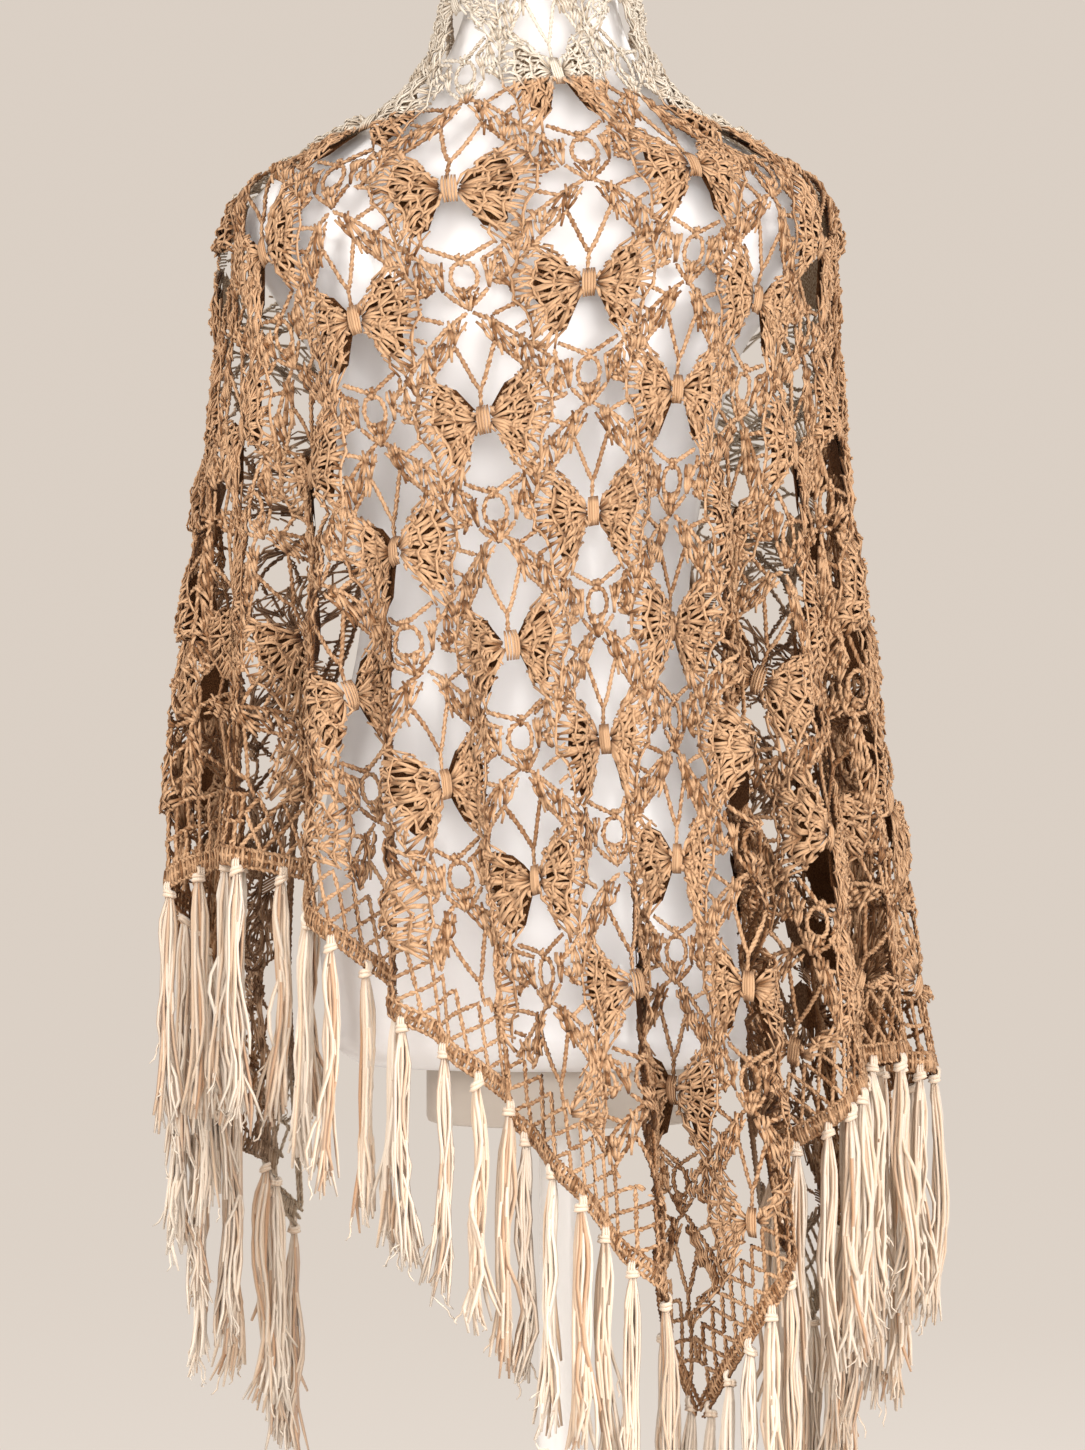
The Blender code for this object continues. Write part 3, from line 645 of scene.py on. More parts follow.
def wing(yarns, centre, mirror):
    """One wing: rounds of shells of posts, a strand across about half of them, and looped edges."""
    low, high = WING_REACH[0][0] + 3, WING_REACH[-1][0] - 4
    for inner, outer, shells, posts, foot in WING_ROUNDS:
        span = (high - low) / shells
        starts, ends = [], []
        for k in range(shells):
            middle = low + (k + 0.5) * span + rng.normal(0, 1.5)
            for p in range(posts):
                q = (p + 0.5) / posts - 0.5
                starts.append((middle + q * span * foot + rng.normal(0, 0.8), inner + rng.normal(0, 0.02)))
                turn = middle + q * span * 1.30 + rng.normal(0, 1.5)
                ends.append((turn, outer - 0.42 * (outer - inner) * q * q + rng.normal(0, 0.02)))
        starts, ends = np.array(starts), np.array(ends)
        a, b = wing_point(mirror, *starts.T), wing_point(mirror, *ends.T)
        count = len(a)
        lines = bowed(a, b, rng.normal(0, 1.5, count))
        wobble = rng.normal(0, 0.75, count)
        top = wing_lift((inner + outer) / 2) + 1.5
        foot_lift = wing_lift(inner) - (0.2 if inner < 0.2 else 1.0)
        lifts = np.array([foot_lift, top + 0.3, wing_lift(outer)]) + wobble[:, None]
        thick = POST_RADIUS * rng.uniform(0.88, 1.15, count)
        yarns.add(lines * MM + centre, lifts, thick, rng.uniform(0, 1, count))
        at = rng.uniform(0.45, 0.75, count)[:, None]
        middle = a * (1 - at) + b * at
        run = unit(b - a)
        half = (run * 0.6 + sideways(run) * 0.9) * 2.3
        cross = np.stack([middle - half, middle, middle + half], axis=1)
        over = top + wobble[:, None] + np.array([0.4, 1.5, 0.4])[None, :]
        some = rng.uniform(size=count) < 0.50
        yarns.add(cross[some] * MM + centre, over[some], CROSS_RADIUS, rng.uniform(0.2, 1, some.sum()))
        degrees = np.linspace(low - 1, high + 1, 2 * shells + 3)
        step = np.arange(len(degrees))
        edge = outer - 0.03 + 0.02 * np.cos(step * math.pi)
        for phase in (0, 1):
            wave = rng.normal(0, 0.3, len(degrees)) + 0.8 * np.where((step + phase) % 2 == 0, 1, -1)
            line = wing_point(mirror, degrees, edge + wave / smooth_table(degrees, WING_REACH, 1))
            lift = wing_lift(outer) + 0.7 + 0.8 * np.where(step % 2 == phase, 1, -0.4)
            yarns.add(line[None] * MM + centre, lift[None], CROSS_RADIUS, rng.uniform(0.3, 1))


def chain(yarns, corners, centre=0.0, lift=0.6, radius=CHAIN_RADIUS, pitch=CHAIN_PITCH):
    """A chain: two strands twisted round each other along corners, in millimetres."""
    corners = np.asarray(corners, float)
    lengths = lengths_of(corners)
    count = max(3, int(round(lengths[-1] / CHAIN_STEP)) + 1)
    at = np.linspace(0, lengths[-1], count)
    line = np.stack([np.interp(at, lengths, corners[:, i]) for i in (0, 1)], axis=1)
    side = sideways(unit(np.gradient(line, axis=0)))
    start = rng.uniform(0, 6.28)
    for half in (0, math.pi):
        phase = start + half + 2 * math.pi * at / pitch
        strand = line + side * (CHAIN_TWIST * np.cos(phase))[:, None]
        lifts = lift + CHAIN_TWIST * np.sin(phase)
        yarns.add(strand[None] * MM + centre, lifts[None], radius, rng.uniform(0.2, 0.9))


def shell(yarns, centre, base, tip, width, posts=4, lift=0.8):
    """A small fan from base to tip: two tiers of posts, and a strand over every second upper post."""
    base, tip = np.asarray(base, float), np.asarray(tip, float)
    run = tip - base
    side = sideways(unit(run))
    for low, high, count in ((0.0, 0.60, max(3, posts // 2 + 1)), (0.50, 1.04, posts)):
        q = (np.arange(count) + 0.5) / count - 0.5
        narrow = 0.10 + 0.75 * low
        a = base + run * low + side * q[:, None] * width * narrow + rng.normal(0, 0.35, (count, 2))
        reach = high - 0.5 * q**2 * (high - low)
        b = base + run * reach[:, None] + side * q[:, None] * width * (narrow + 0.62)
        b = b + rng.normal(0, 0.5, (count, 2))
        lifts = lift + 0.9 * low + np.array([-0.5, 1.6, 0.5]) + rng.normal(0, 0.45, (count, 1))
        shape = bowed(a, b, rng.normal(0, 0.7, count))
        yarns.add(shape * MM + centre, lifts, POST_RADIUS, rng.uniform(-0.1, 1, count))
    middle = shape[::2, 1]
    half = (unit(run) * 0.5 + side * 0.85)[None] * 2.0
    cross = np.stack([middle - half, middle, middle + half], axis=1)
    over = lift + np.array([1.0, 2.5, 1.0])
    yarns.add(cross * MM + centre, over, CROSS_RADIUS, rng.uniform(0.3, 1, len(cross)))


def motif(yarns, centre):
    """A butterfly's body and wings, and the strips, links and round cell round it."""
    # The body: strands wound round the gathered rows.
    x = np.array([-4.0, -2.0, 0.0, 2.0, 4.0])
    y = np.linspace(-9.5, 9.5, 5)
    waist = x[:, None] * (1 - 0.12 * np.abs(y)[None] / 9.5)
    lines = np.stack([waist, np.broadcast_to(y, (5, 5))], axis=-1)
    arch = BODY_LIFT * (1 - (y / 11.5) ** 4) - np.abs(x)[:, None] * 0.18
    yarns.add(lines * MM + centre, arch, WRAP_RADIUS, rng.uniform(0.3, 0.9, 5))
    for mirror in (-1, 1):
        wing(yarns, centre, mirror)
        m = np.array([mirror, 1.0])
        chain(yarns, np.array(ANTENNA) * m, centre, 0.4)
        # The strip of shells from over the antenna down to the round cell beside the next motif.
        for k, (low_at, high_at) in enumerate(STRIP_SHELLS):
            low, high = along_line(STRIP_LOW, low_at), along_line(STRIP_HIGH, high_at)
            base, tip = (low, high) if k % 2 == 0 else (high, low)
            run = tip - base
            shell(yarns, centre, (base + run * 0.08) * m, (tip - run * 0.04) * m, 14.0, 4)
        for rail in (STRIP_LOW, STRIP_HIGH) + LINKS:
            chain(yarns, np.array(rail) * m, centre)
        # Round cell under the body: shells on its sides, chains over and under it.
        shell(yarns, centre, np.array((15, -68)) * m, np.array((17, -50)) * m, 11.0, 4)
        shell(yarns, centre, np.array((28, -70)) * m, np.array((21, -60)) * m, 7.0, 3)
        chain(yarns, np.array(ROUND_CELL) * m, centre, 0.8)
        chain(yarns, np.array(UNDER_CELL) * m, centre)
    chain(yarns, [(-1, 8), (0, 22)], centre, 0.6, 1.05, 8.0)
    shell(yarns, centre, (0, -52), (0, -45), 6.0, 3)
    shell(yarns, centre, (0, -82), (0, -68), 18.0, 6)


def painted_shade_skin(name, keep, material):
    """Painted shade under each wing: a thin dark skin at the middle of the wall, standing for its inner loops
    in shadow.
    """
    degrees = np.linspace(WING_REACH[0][0] + 4, WING_REACH[-1][0] - 4, 11)
    n = len(degrees)
    points, faces, pales = [], [], []
    for centre in motif_centres():
        for mirror in (-1, 1):
            rows = [wing_point(mirror, degrees, share) for share in (0.12, 0.45, 0.76)]
            flat = np.concatenate(rows) * MM + np.asarray(centre)
            if not keep(flat[None])[0] or inset_of(flat).min() < BORDER or flat[:, 1].max() > -3 * MM:
                continue
            at, facing = hang_folded(flat)
            for k in [len(points) + r * n + i for r in range(2) for i in range(n - 1)]:
                faces.append((k, k + 1, k + n + 1, k + n))
            points += list(at - facing * 0.3 * MM)
            pales += list(paleness(flat))
    mesh = bpy.data.meshes.new(name)
    mesh.from_pydata([tuple(p) for p in points], [], faces)
    pale = mesh.attributes.new("pale", "FLOAT", "POINT")
    pale.data.foreach_set("value", np.array(pales, np.float32))
    mesh.shade_smooth()
    return placed(name, mesh, material)


# The hem border and the long edge -------------------------------------------


def hem_point(side, along, inset):
    """Flat point at a distance along a hem from its front tip, and inwards from that hem."""
    u = HALF_SPAN - along * HALF_SPAN / HEM - inset * DEPTH / HEM
    v = -along * DEPTH / HEM + inset * HALF_SPAN / HEM
    return np.stack([side * u, v], axis=-1)


def hem_line(side, corners):
    """The same for corners in millimetres."""
    corners = np.asarray(corners, float)
    return hem_point(side, corners[:, 0] * MM, corners[:, 1] * MM) / MM


def border(yarns, side):
    """Close stitches along the hem, and over them a mesh: square by the front, diamonds by the back point."""
    length = HEM / MM
    count = int((length - 40) / HEM_STITCH)
    at = 22 + np.arange(count) * HEM_STITCH
    for slant, lifted in ((1.6, 0.4), (-1.4, 1.3)):
        foot = np.stack([at + rng.normal(0, 0.4, count), np.full(count, 0.8)], axis=1)
        head = np.stack([at + slant + rng.normal(0, 0.6, count), 11 + rng.normal(0, 0.8, count)], axis=1)
        lifts = lifted + np.array([0, 0.7, 0]) + rng.normal(0, 0.3, (count, 1))
        lines = bowed(hem_line(side, foot), hem_line(side, head), rng.normal(0, 0.5, count))
        yarns.add(lines * MM, lifts, POST_RADIUS, rng.uniform(0, 1, count))
    for inset, lifted in ((0.8, 0.8), (6.0, 1.6), (11.0, 0.8)):
        for start in np.arange(12, length - 12, 120):
            stop = min(start + 122, length - 8)
            line = np.stack([np.linspace(start, stop, 40), np.full(40, inset)], axis=1)
            chain(yarns, hem_line(side, line), lift=lifted)
    square_end = 0.50 * length
    for inset in HEM_ROWS[1:]:
        for start in np.arange(60, square_end, 100):
            wave = np.linspace(start, min(start + 102, square_end), 30)
            line = np.stack([wave, inset + 0.8 * np.sin(wave / 5)], axis=1)
            chain(yarns, hem_line(side, line), lift=0.5)
    for low, high in zip(HEM_ROWS, HEM_ROWS[1:]):
        for at in np.arange(66, square_end, SQUARE_CELL):
            foot = at + rng.normal(0, 0.8)
            chain(yarns, hem_line(side, [(foot, low), (foot + rng.normal(0, 1.2), high)]))
            if low < 20:
                chain(yarns, hem_line(side, [(foot - 4, low + 0.5), (foot, low + 7)]))
    for begin in np.arange(square_end, length - 30, DIAMOND_CELL):
        for low, high in DIAMOND_ROWS:
            peak = high + rng.normal(0, 0.7, 3)[0]
            line = [(begin, low), (begin + DIAMOND_CELL / 2, peak), (begin + DIAMOND_CELL, low)]
            chain(yarns, hem_line(side, line))


def long_edge(yarns):
    """Two rows of chain along the long edge, and stitches over both."""
    reach = HALF_SPAN / MM - 20
    for depth in (1.0, 5.5):
        for start in np.arange(-reach, reach, 150):
            stop = min(start + 152, reach)
            chain(yarns, np.stack([np.linspace(start, stop, 40), np.full(40, -depth)], axis=1))
    at = np.arange(-reach, reach, 3.4)
    count = len(at)
    a = np.stack([at, np.full(count, -1.0)], axis=1)
    b = np.stack([at + 1.2, np.full(count, -6.0)], axis=1)
    lines = bowed(a, b, rng.normal(0, 0.4, count))
    yarns.add(lines * MM, np.array([0.4, 1.3, 0.4]), POST_RADIUS, rng.uniform(0, 1, count))


# Tassels ---------------------------------------------------------------------


def settle(roots, wished, hem):
    """Moves hanging tassels apart in plan, and off the hem below them."""
    plan = wished.copy()
    lower = hem[None, :, 2] < roots[:, None, 2] - 8 * MM
    for _ in range(160):
        plan += (wished - plan) * 0.02
        for others, counted, reach in ((plan, None, TASSEL_CLEAR), (hem[:, :2], lower, HEM_CLEAR)):
            apart = plan[:, None, :] - others[None, :, :]
            distance = np.linalg.norm(apart, axis=-1)
            short = np.clip(reach - distance, 0, None)
            if counted is None:
                np.fill_diagonal(short, 0)
            else:
                short = np.where(counted, short, 0)
            push = apart / np.maximum(distance, 1e-6)[..., None] * short[..., None]
            plan = plan + 0.4 * push.sum(axis=1)
    return plan


def tassels(material):
    """Four pieces of tassels by side and end, one for each strip of the part."""
    spacing = HEM / TASSELS
    roots = [hem_point(s, (k + 0.5) * spacing, -2.0 * MM) for s in (-1, 1) for k in range(TASSELS)]
    hung = [hang_folded([root]) for root in roots]
    places, outs = (np.array([h[i][0] for h in hung]) for i in (0, 1))
    away = outs[:, :2] / np.linalg.norm(outs[:, :2], axis=1, keepdims=True)
    along = np.arange(0, HEM, 0.004)
    hem = np.concatenate([hang_folded(hem_point(s, along, np.zeros(len(along))))[0] for s in (-1, 1)])
    plan = settle(places, places[:, :2] + away * 2.0 * MM, hem)
    half, made = TASSELS // 2, {}
    for word, start in (("left", 0), ("right", TASSELS)):
        for part, first, last in (("front", 0, half), ("back", half, TASSELS)):
            tubes = Tubes()
            for i in range(start + first, start + last):
                tassel(tubes, places[i], outs[i], plan[i])
            made[word, part] = tubes.build(f"tassels_{word}_{part}", material)
    return made


def tassel(tubes, root, out, plan):
    """One tassel: strands in a loose bundle, their frayed ends, and the knot at the hem."""
    m = TASSEL_STRANDS
    share = np.linspace(0, 1, TASSEL_POINTS) ** 1.15
    length = LOCK_LENGTH * rng.uniform(0.90, 1.0) * rng.uniform(0.90, 1.03, m)
    length[rng.integers(0, m)] *= 0.72
    turn = 2 * math.pi * (np.arange(m) * 0.618)
    spread = np.sqrt((np.arange(m) + 0.5) / m)
    disk = np.stack([np.cos(turn), np.sin(turn)], axis=1) * spread[:, None]
    across = unit(sideways(out))
    width = rng.uniform(4.6, 6.0) * MM
    grow = 0.40 + 0.62 * smooth_step(share / 0.13) - 0.14 * smooth_step((share - 0.2) / 0.3)
    grow = grow + 0.30 * smooth_step((share - 0.6) / 0.4)
    sway = rng.normal(0, 2.2 * MM, 2)
    centre = root[:2] + (plan - root[:2]) * smooth_step(share / 0.22)[:, None]
    centre = centre + sway * (share**2)[:, None]
    offset = disk[:, 0, None, None] * across * width
    offset = offset + disk[:, 1, None, None] * sideways(across) * width * 0.75
    wave = rng.uniform(0, 6.28, (m, 2))
    swing = rng.normal(0, 2.5, (m, 2)) * MM
    bend = np.sin(share[:, None] * rng.uniform(4, 8, 2) + rng.uniform(0, 6.28, 2))
    bend = bend * rng.normal(0, 2.6, 2) * MM
    centre = centre + bend * (share * (1.2 - 0.4 * share))[:, None]
    curl = np.sin(share[None, :, None] * rng.uniform(7, 17, (m, 1, 1)) + wave[:, None, :])
    curl = curl * swing[:, None, :] * (0.2 + 0.8 * share)[None, :, None]
    flare = rng.normal(0, 4.6 * MM, (m, 2))[:, None, :] * (share**5)[None, :, None]
    xy = centre[None] + offset * grow[None, :, None] + curl + flare
    z = root[2] - 3 * MM - share[None, :] * length[:, None]
    paths = np.concatenate([xy, z[..., None]], axis=-1)
    across3, out3 = np.append(across, 0.0), np.append(unit(out[:2]), 0.0)
    # Some strands are darker, as mixed yarn; the left side's tassels get more of them than the right side's:
    # painted shade.
    dusky = 0.22 if root[0] < 0 else 0.08
    tint = np.where(rng.uniform(size=m) < dusky, rng.uniform(-0.2, 0.35, m), rng.uniform(0.55, 1.1, m))
    tubes.add(paths, across3, STRAND_RADIUS * rng.uniform(0.85, 1.15, m), tint, 3, 0.6)
    # Frayed plies curl off the ends of some strands.
    frays = rng.integers(0, m, TASSEL_FRAYS)
    start = paths[frays, -1 - rng.integers(0, 3, TASSEL_FRAYS)][:, None, :]
    reach = np.linspace(0, 1, 6)[None, :, None]
    drift = rng.normal(0, 5.0 * MM, (TASSEL_FRAYS, 2))[:, None, :]
    twist = reach * rng.uniform(5, 11, (TASSEL_FRAYS, 1, 1)) + rng.uniform(0, 6.28, (TASSEL_FRAYS, 1, 2))
    loose = start[..., :2] + (drift + np.sin(twist) * 1.9 * MM) * reach
    drop = start[..., 2:] - reach * rng.uniform(9, 20, (TASSEL_FRAYS, 1, 1)) * MM
    drop = np.maximum(drop, root[2] - LOCK_LENGTH * 1.04)
    tubes.add(np.concatenate([loose, drop], axis=-1), across3, FRAY_RADIUS, 0.95, 3, 0.5)
    # The knot: two turns round the head, and the loops that pass over the hem.
    up3 = np.array([0, 0, 1.0])
    angle = np.linspace(0, 2 * math.pi, 11)
    cosine, sine = np.cos(angle), np.sin(angle)
    tilt = rng.normal(0, 1.2)
    for k in range(2):
        height = 0.4 - 2.3 * k + tilt * cosine + 0.7 * np.sin(angle + k)
        ring = np.outer(cosine * (3.3 + 0.4 * k), across3) + np.outer(sine * 2.9, out3)
        ring = ring + np.outer(height, up3)
        tubes.add((root + ring * MM)[None], up3, KNOT_RADIUS, 0.72, 4, 0.9)
    rise = np.linspace(0, 1, 6)
    for k in (-1.9, 0.2, 2.1):
        loop = np.outer(k * (1 - 0.3 * rise), across3) + np.outer(np.sin(rise * math.pi) * 2.2 + 1.2, out3)
        loop = loop + np.outer(rise * 8.0, up3)
        tubes.add((root + loop * MM)[None], across3, LOOP_RADIUS, 0.8, 3, 0.7)


# Form and stand ---------------------------------------------------------------


def loft(name, rings, material):
    """A smooth closed solid through rings of points."""
    rings = np.asarray(rings)
    count, sides = rings.shape[:2]
    points = rings.reshape(-1, 3)
    faces = [tuple(reversed(range(sides))), tuple(range(len(points) - sides, len(points)))]
    for r in range(count - 1):
        for i in range(sides):
            j = (i + 1) % sides
            faces.append((r * sides + i, r * sides + j, (r + 1) * sides + j, (r + 1) * sides + i))
    mesh = bpy.data.meshes.new(name)
    mesh.from_pydata([tuple(map(float, p)) for p in points], [], faces)
    mesh.shade_smooth()
    mesh.set_sharp_from_angle(angle=math.radians(40))
    return placed(name, mesh, material)


def round_rings(profile, half_width, half_depth, sides=96):
    """Rings through a profile of pairs: how far in from the rim, and height."""
    turn = np.linspace(0, 2 * math.pi, sides, endpoint=False)
    rings = []
    for cut, z in profile:
        x, y = (half_width - cut) * np.sin(turn), -(half_depth - cut) * np.cos(turn)
        rings.append(np.stack([x, y, np.full(sides, z)], axis=1))
    return rings


def form_rings():
    low, high = FORM_SECTIONS[0][0], FORM_SECTIONS[-1][0]
    lower = np.linspace(low, low + 0.03, 8)[:-1]
    heights = np.concatenate([lower, np.linspace(low + 0.03, high - 0.01, 110), [high - 0.004, high]])
    turn = np.linspace(0, 2 * math.pi, 112, endpoint=False)
    rings = []
    for height in heights:
        z = np.full(len(turn), height)
        x, y, _ = section_point(FORM_SECTIONS, z, turn)
        rings.append(np.stack([x, y, z], axis=1))
    return rings


# Materials ---------------------------------------------------------------------


class Paint:
    """A material with its shader, and the few nodes that all of them are made of."""

    def __init__(self, name, **values):
        self.material = bpy.data.materials.new(name)
        self.material.use_nodes = True
        self.tree = self.material.node_tree
        self.shader = self.tree.nodes["Principled BSDF"]
        self.set(self.shader, values)

    def set(self, node, values):
        for word, value in values.items():
            node.inputs[word.replace("_", " ")].default_value = value

    def node(self, kind, **values):
        made = self.tree.nodes.new("ShaderNode" + kind)
        self.set(made, values)
        return made

    def link(self, out, into):
        self.tree.links.new(out, into)

    def attribute(self, word):
        made = self.node("Attribute")
        made.attribute_name = word
        return made.outputs["Fac"]

    def ramp(self, value, stops):
        """Colours by value, through (position, colour) stops."""
        made = self.node("ValToRGB")
        elements = made.color_ramp.elements
        for i in (0, -1):
            elements[i].position = stops[i][0]
            elements[i].color = (*stops[i][1], 1)
        for position, colour in stops[1:-1]:
            elements.new(position).color = (*colour, 1)
        self.link(value, made.inputs["Fac"])
        return made.outputs["Color"]

    def mix_by_paleness(self, colour, pale_colour):
        mix = self.node("Mix")
        mix.data_type = "RGBA"
        self.link(self.attribute("pale"), mix.inputs["Factor"])
        self.link(colour, mix.inputs["A"])
        self.link(pale_colour, mix.inputs["B"])
        self.link(mix.outputs["Result"], self.shader.inputs["Base Color"])

    def bump(self, height, strength, distance, invert=False):
        made = self.node("Bump", Strength=strength, Distance=distance)
        made.invert = invert
        self.link(height, made.inputs["Height"])
        self.link(made.outputs["Normal"], self.shader.inputs["Normal"])


def yarn_material(name, tones, pale_tones, sheen=0.06):
    """Matte cotton: each strand has its own tint, with painted shade in it, and a fine fleck along it."""
    paint = Paint(name, Roughness=0.82, Specular_IOR_Level=0.14, Sheen_Weight=sheen, Sheen_Roughness=0.5)
    noise = paint.node("TexNoise", Scale=900, Detail=2).outputs["Fac"]
    flecked = paint.node("Math")
    flecked.operation = "MULTIPLY_ADD"
    flecked.inputs[1].default_value = 0.40
    paint.link(noise, flecked.inputs[0])
    paint.link(paint.attribute("tint"), flecked.inputs[2])
    ramps = [paint.ramp(flecked.outputs[0], tuple(zip(TONE_STOPS, t))) for t in (tones, pale_tones)]
    paint.mix_by_paleness(*ramps)
    paint.bump(noise, 0.35, 0.0006)
    return paint.material


def shade_skin_material(name, tones, pale_tones):
    """Painted shade under the wings, as their inner loops: small light and dark lumps, pale where the yarn
    is.
    """
    paint = Paint(name, Roughness=0.9, Specular_IOR_Level=0.1)
    lumps = paint.node("TexVoronoi", Scale=330).outputs["Distance"]
    ramps = [paint.ramp(lumps, ((0.10, light), (0.62, dark))) for dark, light in (tones, pale_tones)]
    paint.mix_by_paleness(*ramps)
    paint.bump(lumps, 0.8, 0.0012, True)
    return paint.material


def plain_material(name, colour, roughness, coat=0.0, mottle=0.03):
    """A smooth finish, a little uneven in its colour."""
    paint = Paint(name, Roughness=roughness, Coat_Weight=coat, Coat_Roughness=0.12)
    noise = paint.node("TexNoise", Scale=6).outputs["Fac"]
    changes = ((0, 1 - mottle), (1, 1 + mottle))
    stops = [(at, tuple(min(1, c * change) for c in colour)) for at, change in changes]
    paint.link(paint.ramp(noise, stops), paint.shader.inputs["Base Color"])
    return paint.material


# Building it ---------------------------------------------------------------------

drape = Drape()
tans, creams = (TAN_DARK, TAN, TAN_LIGHT), (CREAM_DARK, CREAM, CREAM_LIGHT)
tan = yarn_material("tan_cotton", tans, creams)
cream = yarn_material("cream_cotton", tans, creams)
fringe = yarn_material("fringe_cotton", tans, (FRINGE_DARK, FRINGE, FRINGE_LIGHT), 0.35)
# The dark skin of painted shade under the wings.
inner = shade_skin_material("painted_shade_loops", SHADE_SKIN_TONES, SHADE_SKIN_PALE)
shell_white = plain_material("form_gloss", (0.95, 0.95, 0.97), 0.30, 0.3, 0.005)
# The hub, recessed under the form's rim, is given a grey-beige darker than the white stand: painted shade.
hub_shade_grey = plain_material("hub_shade_grey", (0.60, 0.54, 0.48), 0.45)
stand_white = plain_material("stand_white", (0.86, 0.85, 0.84), 0.25, 0.2, 0.01)

lace, edging, hems = Yarns(), Yarns(), {"left": Yarns(), "right": Yarns()}
for centre in motif_centres():
    motif(lace, np.asarray(centre) + rng.normal(0, 1.8 * MM, 2))
lace = cut_to_field(lace)
long_edge(edging)
border(hems["left"], -1)
border(hems["right"], 1)


def stretch(left, right, top, bottom):
    """Accepts the lines whose middles lie in a stretch of the flat cut."""

    def keep(lines):
        u, v = lines.mean(axis=1).T
        return (u > left) & (u <= right) & (v <= top) & (v > bottom)

    return keep


def along_hem(side):
    """Accepts the lines of a hem that stay on the cloth, on their own side of the back point."""

    def keep(lines):
        on_cloth = (inset_of(lines).min(axis=1) > -3 * MM) & (lines[..., 1].max(axis=1) < 2 * MM)
        return on_cloth & (side * lines[..., 0].mean(axis=1) > -3 * MM)

    return keep


def field_area(left, right, top, bottom):
    """Flat area and size of a stretch of the lace, counted on a fine grid."""
    u = np.linspace(-HALF_SPAN, HALF_SPAN, 1401)
    v = np.linspace(-DEPTH, 0, 701)
    grid = np.stack(np.meshgrid(u, v, indexing="ij"), axis=-1)
    within = (inset_of(grid) > BORDER) & (grid[..., 0] > left) & (grid[..., 0] <= right)
    within &= (grid[..., 1] <= top) & (grid[..., 1] > bottom)
    cell = (u[1] - u[0]) * (v[1] - v[0])
    us, vs = grid[..., 0][within], grid[..., 1][within]
    return float(within.sum() * cell), float(us.max() - us.min()), float(vs.max() - vs.min())


# The pieces of lace: name, the solid that each stands for, its stretch of the flat cut from left
# to right and from top to bottom, and how thick its yarn is against the pattern's.
FAR = 2 * HALF_SPAN
PIECES = (
    ("neck_band_yarn", "neck_band", (NECK_MIDDLE, FAR, 0.0, -BAND_DEPTH), 0.92),
    ("neck_band_yarn_left", None, (-FAR, NECK_MIDDLE, 0.0, -BAND_DEPTH), 0.88),
    ("left_wing_yarn", "left_wing_lace", (-FAR, LEFT_SEAM, -BAND_DEPTH, -FAR), 0.98),
    ("back_yarn_left", "back_lace", (LEFT_SEAM, BACK_CUTS[0], -BAND_DEPTH, -FAR), 1.07),
    ("back_yarn_middle", None, (*BACK_CUTS, -BAND_DEPTH, -FAR), 1.05),
    ("back_yarn_right", None, (BACK_CUTS[1], RIGHT_SEAM, -BAND_DEPTH, -FAR), 1.08),
    ("right_wing_yarn", "right_wing_lace", (RIGHT_SEAM, FAR, -BAND_DEPTH, -FAR), 1.07),
)


def dress(obj, node=None):
    """Rides the piece on the part's one body, and in the place of a solid."""
    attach(obj, "root")
    if node:
        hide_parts(node)


def yarn_piece(name, yarns, keep, thickness, material):
    tubes = Tubes()
    hang_yarns(yarns, tubes, keep, thickness)
    return tubes.build(name, material)


fringes = tassels(fringe)
for (word, part), obj in fringes.items():
    dress(obj, f"fringe_{word}_{part}")

for name, node, limits, thickness in PIECES:
    keep = stretch(*limits)
    in_band = name.startswith("neck_band")
    material, slot = (cream, "cream_yarn") if in_band else (tan, "tan_yarn")
    obj = yarn_piece(name, lace, keep, thickness, material)
    dress(obj, node)
    # Behind each piece, a dark skin of painted shade under its wings.
    behind = [painted_shade_skin(name.replace("_yarn", "_shadow_skin"), keep, inner)]
    if in_band:
        behind.append(yarn_piece(name.replace("_yarn", "_rim"), edging, keep, 1.0, material))
    for piece in behind:
        dress(piece)
    area, width, length = field_area(*limits)

for word, side in (("left", -1), ("right", 1)):
    obj = yarn_piece(f"hem_{word}_yarn", hems[word], along_hem(side), 0.96, tan)
    dress(obj, f"hem_border_{word}")

hub_profile = [(cut, HUB_LOW + rise) for cut, rise in HUB_EDGE]
hub_profile += [(cut, HUB_TOP - rise) for cut, rise in reversed(HUB_EDGE)]
pole_profile = [(0, BASE_PROFILE[-1][1] + TOUCH), (0, HUB_LOW - TOUCH)]
pole_rings = round_rings(pole_profile, POLE_RADIUS, POLE_RADIUS, 64)
SOLIDS = (
    ("form_torso", "form_shell", shell_white, form_rings()),
    ("form_hub", "stand_paint", hub_shade_grey, round_rings(hub_profile, HUB_HALF_WIDTH, HUB_HALF_DEPTH)),
    ("stand_pole", "stand_paint", stand_white, pole_rings),
    ("stand_base", "stand_paint", stand_white, round_rings(BASE_PROFILE, BASE_RADIUS, BASE_RADIUS, 128)),
)
looks = {}
for node, slot, material, rings in SOLIDS:
    dress(loft(node + "_smooth", rings, material), node)
    looks[node] = material

for node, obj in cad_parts.items():
    cloth = cream if node == "neck_band" else fringe if node.startswith("fringe") else tan
    obj.data.materials.clear()
    obj.data.materials.append(looks.get(node, cloth))

# Stage, light and camera ----------------------------------------------------------

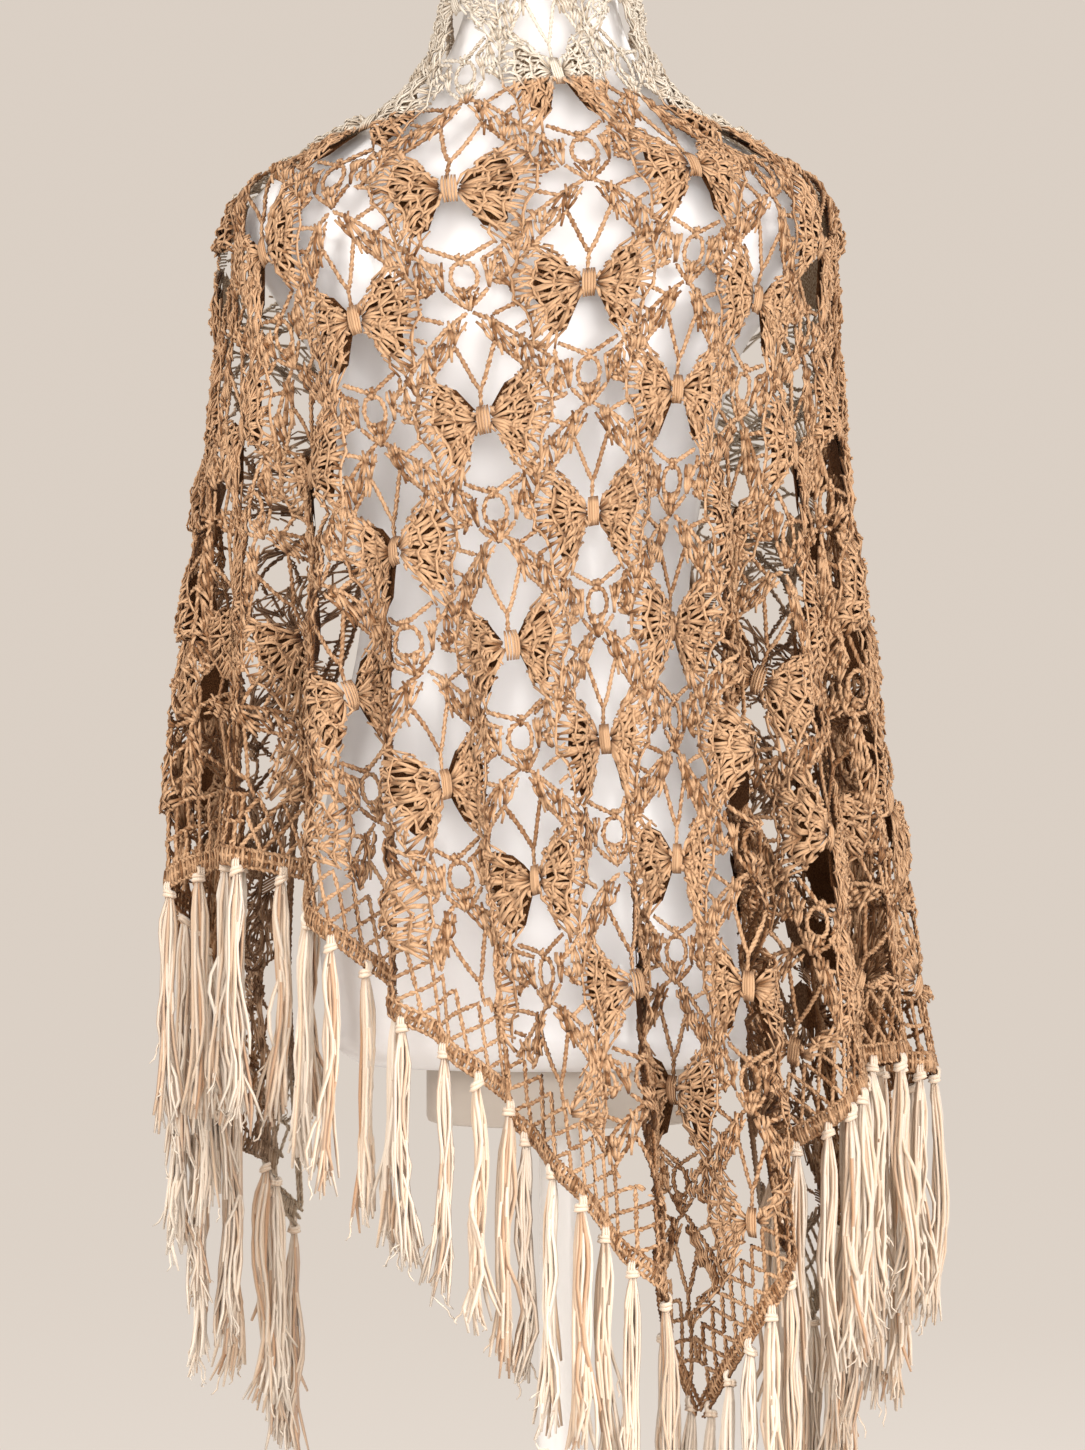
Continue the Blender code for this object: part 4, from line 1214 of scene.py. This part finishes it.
# The floor glows a little, so that from the photo's side its far edge doesn't show on the backdrop.
# From other sides it does.
floor_paint = Paint("floor_paint", Roughness=0.9, Base_Color=(0.30, 0.30, 0.30, 1), Specular_IOR_Level=0.0)
floor_paint.set(floor_paint.shader, {"Emission_Color": (*BACKDROP, 1), "Emission_Strength": 0.70})
floor_mesh = bpy.data.meshes.new("floor")
corners = ((-1, -1), (1, -1), (1, 1), (-1, 1))
floor_mesh.from_pydata([(x * FLOOR_REACH, y * FLOOR_REACH, -0.0005) for x, y in corners], [], [(0, 1, 2, 3)])
placed("floor", floor_mesh, floor_paint.material)

scene = bpy.context.scene
scene.world = bpy.data.worlds.new("studio")
scene.world.use_nodes = True
backdrop = scene.world.node_tree.nodes["Background"]
backdrop.inputs["Color"].default_value = (*BACKDROP, 1)
backdrop.inputs["Strength"].default_value = 1.0
scene.view_settings.view_transform = "Standard"

# Softboxes: place, height that each is aimed at on the pole's axis, width, height, watts, colour.
SOFTBOXES = {
    "key": ((-2.2, -2.4, 2.3), 1.0, 1.6, 1.8, 68, (1, 0.97, 0.93)),
    "fill": ((0.6, -4.6, 1.6), 1.0, 3.0, 2.6, 96, (1, 0.985, 0.965)),
    "side": ((2.5, -2.6, 1.1), 0.85, 1.8, 2.2, 92, (1, 0.97, 0.935)),
    "rim": ((1.6, 2.4, 2.2), 1.1, 1.4, 1.4, 16, (1, 0.98, 0.95)),
}
for name, (place, aim, width, height, power, colour) in SOFTBOXES.items():
    light = bpy.data.lights.new(name, "AREA")
    light.shape = "RECTANGLE"
    light.size, light.size_y = width, height
    light.energy = power
    light.color = colour
    lamp = bpy.data.objects.new(name, light)
    lamp.location = place
    lamp.rotation_euler = (Vector((0, 0, aim)) - Vector(place)).to_track_quat("-Z", "Y").to_euler()
    scene.collection.objects.link(lamp)

camera = bpy.data.cameras.new("camera")
camera.lens = 108
camera.sensor_width = 36
camera.sensor_fit = "AUTO"
camera.dof.use_dof = False
camera_object = bpy.data.objects.new("camera", camera)
camera_object.location = (-0.012, -3.0, 0.958)
camera_object.rotation_euler = (math.radians(90), 0, 0)
scene.collection.objects.link(camera_object)
scene.camera = camera_object
